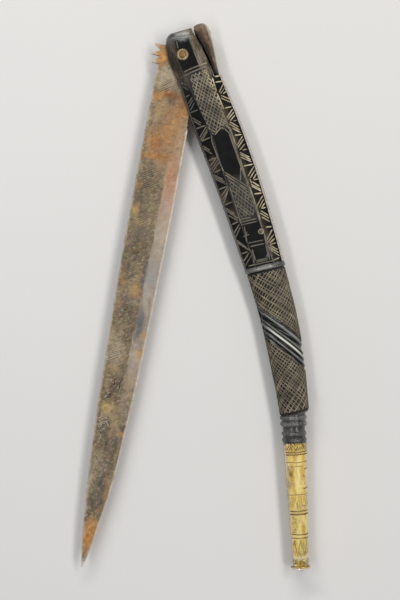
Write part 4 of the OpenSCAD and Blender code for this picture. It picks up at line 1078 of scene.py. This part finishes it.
def build_sheath():
    """Eight-sided tube with rings and zigzags cut round it, over the front corner at v = 0."""
    cut = Engraving(0.5, 0.16, 0.08)
    s0, girth = SHEATH_S, 8 * FACE_GIRTH

    def across(a, b, v0, v1, width=1.0, jitter=1.0):
        """Stroke round the tube that bends at each of its corners."""
        steps = sorted({v0, v1, *range(ceil(v0), floor(v1) + 1)})
        cut.line([(s0 + a + (b - a) * (v - v0) / (v1 - v0), (v + 2) * FACE_GIRTH) for v in steps], width, jitter)
    for at, lean, width in ((4.6, 0.3, 1.3), (6.1, 0.1, 1.3), (10.2, 0.2, 0.7), (27.8, 0.4, 0.9), (37.0, 0.1, 1.1),
                            (38.8, 0.1, 1.5), (50.2, -0.4, 1.1), (52.0, -0.2, 1.1), (67.6, 0.0, 1.2)):
        across(at + lean, at - lean, -1.4, 5.4, width)
    for stroke in ((14.0, 14.1, 0.9, 2.4, 0.8), (24.8, 24.7, 0.8, 2.3, 1.2), (12.6, 12.5, -0.3, 0.9, 0.6)):
        across(*stroke)
    for first, last, pitch, width, shape in ((1.1, 4.1, 0.27, 0.8, "////\\"), (28.6, 35.4, 0.24, 0.5, "////\\"),
                                             (53.0, 61.5, 0.5, 0.7, "/\\")):
        v, k = -1.35, 0
        while v + pitch < 5.3:
            a, b = (last, first) if shape[k % len(shape)] == "/" else (first, last)
            a, b = a + random.uniform(-0.5, 0.5), b + random.uniform(-0.5, 0.5)
            across(a, b, v, v + pitch * random.uniform(0.9, 1.4), width, 1.5)
            v, k = v + pitch, k + 1
    lines = [[(s0, g), (TAIL_L, g)] for g in np.arange(FACE_GIRTH, girth, FACE_GIRTH)]
    lines += [[(s, g) for g in np.arange(0, girth + 0.1, FACE_GIRTH)] for s in (s0 + 0.5, TAIL_L - 1.5)]
    points = [(s, g) for s in np.arange(s0 + 1.5, TAIL_L - 2, 1.7) for g in np.arange(1, girth, 1.0)]
    sheath = tube("finial_sheath_look", (s0, TAIL_L), girth, lines, points, sheath_place, cut, [BRASS, DIRT], 20)
    bore = [(s0 - 1, PEG_R + FIXED_GAP + 0.03), (TAIL_L + 1, PEG_END_R + FIXED_GAP - 0.03)]
    boolean(sheath, lathe("bore", bore, on_tail, (), 64))
    boolean(sheath, prism(blade_slot_points(), SLOT_W / 2))
    shade(sheath, 20)
    way, side = tail_way(points_of(sheath))
    way = way - s0
    lean = side / sheath_radius(way / (TAIL_L - s0))
    # pale lower edge, painted rim light along the back edge, and a worn band near the end
    paint(sheath, worn=most(0.9 * unit((-lean - 0.62) / 0.2), 1.2 * unit((lean - 0.74) / 0.12),
                            0.8 * unit(1.4 - np.abs(way - 63.0) / 1.2)),
          # painted highlight spots on the sheath's facets
          shine=spots(way, lean, [(16, 0.22, 9, 0.16, 1), (23, 0.1, 5, 0.3, 0.9), (11, 0, 4, 0.3, 0.6),
                                  (42, 0.1, 4, 0.4, 0.8), (58, 0.2, 3, 0.3, 0.5), (49, 0, 4, 0.3, 0.9),
                                  (34, 0.1, 5, 0.3, 0.7)], 1.5),
          soft=most(0.75 * ((way > 27) & (way < 36.5)), 0.4 * (way > 52.8),
                    0.6 * unit(1.3 - np.abs(lean - 0.1) / 0.35) * (way > 4.3)),
          # dirt spots, and painted shade at the end beside the disc
          dust=spots(way, lean, [(0.2, 0, 0.9, 9, 1), (65.4, 0, 2, 9, 1), (57, 0.2, 5, 0.5, 0.6),
                                 (16.5, -0.5, 3, 0.25, 0.8), (22, -0.8, 4, 0.2, 0.7), (44, -0.4, 5, 0.3, 0.6),
                                 (47, 0.5, 3, 0.2, 0.4), (31, -0.9, 5, 0.2, 0.6), (2.6, 0, 2, 1.2, 0.45)]))
    hand_in(sheath, "handle", "finial_sheath")


def build_disc():
    r = DISC_D / 2
    section = [(0, 4.6), (0, r - 0.5), (0.1, r - 0.15), (0.3, r), (0.55, r - 0.02), (0.74, r - 0.25),
               (DISC_T, r - 0.6), (0.75, r - 1.2), (0.7, 2.0), (DISC_T - 0.02, 0.6)]
    disc = lathe("tail_disc_look", [(TAIL_L + s, q) for s, q in section], on_tail, [DISC], 96, 32)
    outside = tail_way(points_of(disc))[0] > TAIL_L + 0.05
    # outer face painted pale as lit, inner face towards the sheath painted dark as shade
    paint(disc, worn=outside, dust=~outside)
    hand_in(disc, "handle", "tail_disc")


def build_pin(node, r, past, at, material):
    half = HORN_T / 2 + past
    dome = [(half - 0.28, r), (half - 0.1, r - 0.06), (half - 0.02, r - 0.25), (half, r * 0.55)]
    pin = lathe(node + "_look", [(-s, q) for s, q in reversed(dome)] + dome, upright(at), [material], 48, 35)
    hand_in(pin, "handle", node)


def build_ring(node, outer, inner, thick, at, side, material):
    """Brass ring with a worn round top and a line turned round it, and painted shade at its inner edge beside the
    pin.
    """
    w = outer - inner
    top = ((0.85, 0.14), (1, 0.36), (0.97, 0.55), (0.85, 0.72), (0.7, 0.86))
    section = [(0, inner), (0, outer - 0.12), (0.1, outer), (thick * 0.55, outer),
               *[(thick * s, outer - q * w) for s, q in top], (thick * 0.4, inner)]
    ring = lathe(node + "_look", section, lambda s, a, b: (at[0] + a, at[1] + b, side * (HORN_T / 2 + s)), [material],
                 64, 35, True, lambda r, a: 1 + (0.008 * sin(3 * a + 1) if r > inner + 0.1 else 0))
    from_middle = np.hypot(*(points_of(ring)[:, :2] - np.array(at)).T)
    # painted shade at the inner edge, beside the pin
    paint(ring, dust=np.where(from_middle < inner + 0.1 * w, 1, 0))
    hand_in(ring, "handle", node)


def build_spring():
    """The spring's own solid with worn edges, painted highlights along its head's top and painted shade along its
    lower side.
    """
    spring = link("back_spring_look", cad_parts["back_spring"].data.copy())

    def merge(bm):
        bmesh.ops.remove_doubles(bm, verts=bm.verts, dist=1e-6)
        bmesh.ops.dissolve_limit(bm, angle_limit=radians(0.3), verts=bm.verts, edges=bm.edges)

    def divide(bm):
        """Adds edges over the head, so that its paint has enough points."""
        for normal, places in (((1, 0, 0), np.arange(-14, 14, 2.0)), ((0, 1, 0), (12.5, 14.0, 15.2, 16.2, 17.0))):
            for at in places:
                bmesh.ops.bisect_plane(bm, geom=bm.verts[:] + bm.edges[:] + bm.faces[:], dist=1e-7,
                                       plane_co=[at * MM * v for v in normal], plane_no=normal)
    rework(spring, merge, 40)
    spring.data.materials.clear()
    spring.data.materials.append(SPRING)
    bevel = spring.modifiers.new("worn", "BEVEL")
    bevel.width, bevel.segments, bevel.limit_method, bevel.angle_limit = 0.35 * MM, 2, "ANGLE", radians(35)
    apply_modifiers(spring)
    rework(spring, divide, 40)
    x, y, _ = points_of(spring).T
    top = along([(-16, 15.0), (-14, 16.4), (-11, 17.5), (-4, 17.9), (3, 17.8), (13.6, 17.1)], np.clip(x, -16, 13.6))
    low = along(TILE_LOWER, np.clip(x, -14, 13.6))
    share, head = (y - low) / (top - low), x < STEP_X
    # painted highlight along the head's top edge and a paler middle band; painted shade along the lower side, and
    # darker towards the end at the step
    lit = head * np.interp(x, [-15, -9, -4, 1, 7, 10, 13], [1, 0.9, 0.45, 0.6, 1, 0.7, 0.1])
    paint(spring, worn=lit * most(unit((share - 0.76) / 0.14), 0.22 * np.exp(-((share - 0.58) / 0.14) ** 2)),
          dark=head * most(unit((0.56 - share) / 0.36) * np.clip((x + 13) / 3, 0.3, 1), 0.85 * unit((x - 7) / 5)))
    hand_in(spring, "spring", "back_spring")


build_horn()
build_blade()
build_sheath()
build_disc()
build_spring()
build_pin("pivot_pin", PIN_R, ROSETTE_T, (0, 0), PIN)
build_pin("spring_rivet", RIVET_R, WASHER_T, RIVET, RIVET_END)
for side, word in ((1, "front"), (-1, "rear")):
    build_ring(word + "_pivot_rosette", ROSETTE_R, PIN_R + FIXED_GAP, ROSETTE_T, (0, 0), side, ROSETTE)
    build_ring(word + "_rivet_washer", WASHER_R, RIVET_R + FIXED_GAP, WASHER_T, RIVET, side, WASHER)


# ---------------------------------------------------------------- floor, lamps, camera
def build_stage():
    floor_mat = Shade("floor", Roughness=0.9)
    floor_mat.colour = floor_mat.cloud(400, 2, 0.55, 0.3, (0.73, 0.72, 0.70), 0.7, (0.76, 0.75, 0.73))
    mesh, half = bpy.data.meshes.new("floor"), 3
    mesh.from_pydata([(-half, -half, 0), (half, -half, 0), (half, half, 0), (-half, half, 0)], [], [(0, 1, 2, 3)])
    mesh.materials.append(floor_mat.done())
    link("floor", mesh)

    world = bpy.data.worlds.new("studio")
    bpy.context.scene.world = world
    world.use_nodes = True
    back = world.node_tree.nodes["Background"].inputs
    back["Color"].default_value, back["Strength"].default_value = (0.93, 0.95, 1.0, 1), 0.22

    target = Vector((0.132, -0.02, 0.009))
    # no lamp stands where the flat facet or the steep bevels mirror it towards the camera
    for name, at, size, watts, colour in (
            ("key_right", (0.10, 0.56, 1.15), (1.2, 0.20), 8.2, (1.0, 0.97, 0.94)),
            ("fill_left", (0.14, -0.58, 1.15), (1.2, 0.16), 3.4, (0.95, 0.97, 1.0)),
            ("head_side", (-0.75, -0.10, 0.75), (0.9, 0.20), 5.2, (1.0, 0.99, 0.97))):
        lamp = bpy.data.lights.new(name, "AREA")
        lamp.shape, (lamp.size, lamp.size_y), lamp.energy, lamp.color = "RECTANGLE", size, watts, colour
        obj = link(name, lamp)
        obj.location = at
        obj.rotation_euler = (target - Vector(at)).to_track_quat("-Z", "Y").to_euler()

    camera = bpy.data.cameras.new("camera")
    camera.sensor_fit, camera.sensor_height, camera.lens = "VERTICAL", 36.0, 76.4
    camera.clip_start, camera.clip_end = 0.01, 20
    eye = link("camera", camera)
    x, y = CAMERA_XY * MM
    c, s = 0.2251, 0.9743                            # the picture's turn
    eye.matrix_world = Matrix(((c, -s, 0, x), (s, c, 0, y), (0, 0, 1, (MID_Z + CAMERA_D) * MM), (0, 0, 0, 1)))
    bpy.context.scene.camera = eye
    bpy.context.scene.view_settings.view_transform = "Standard"


build_stage()
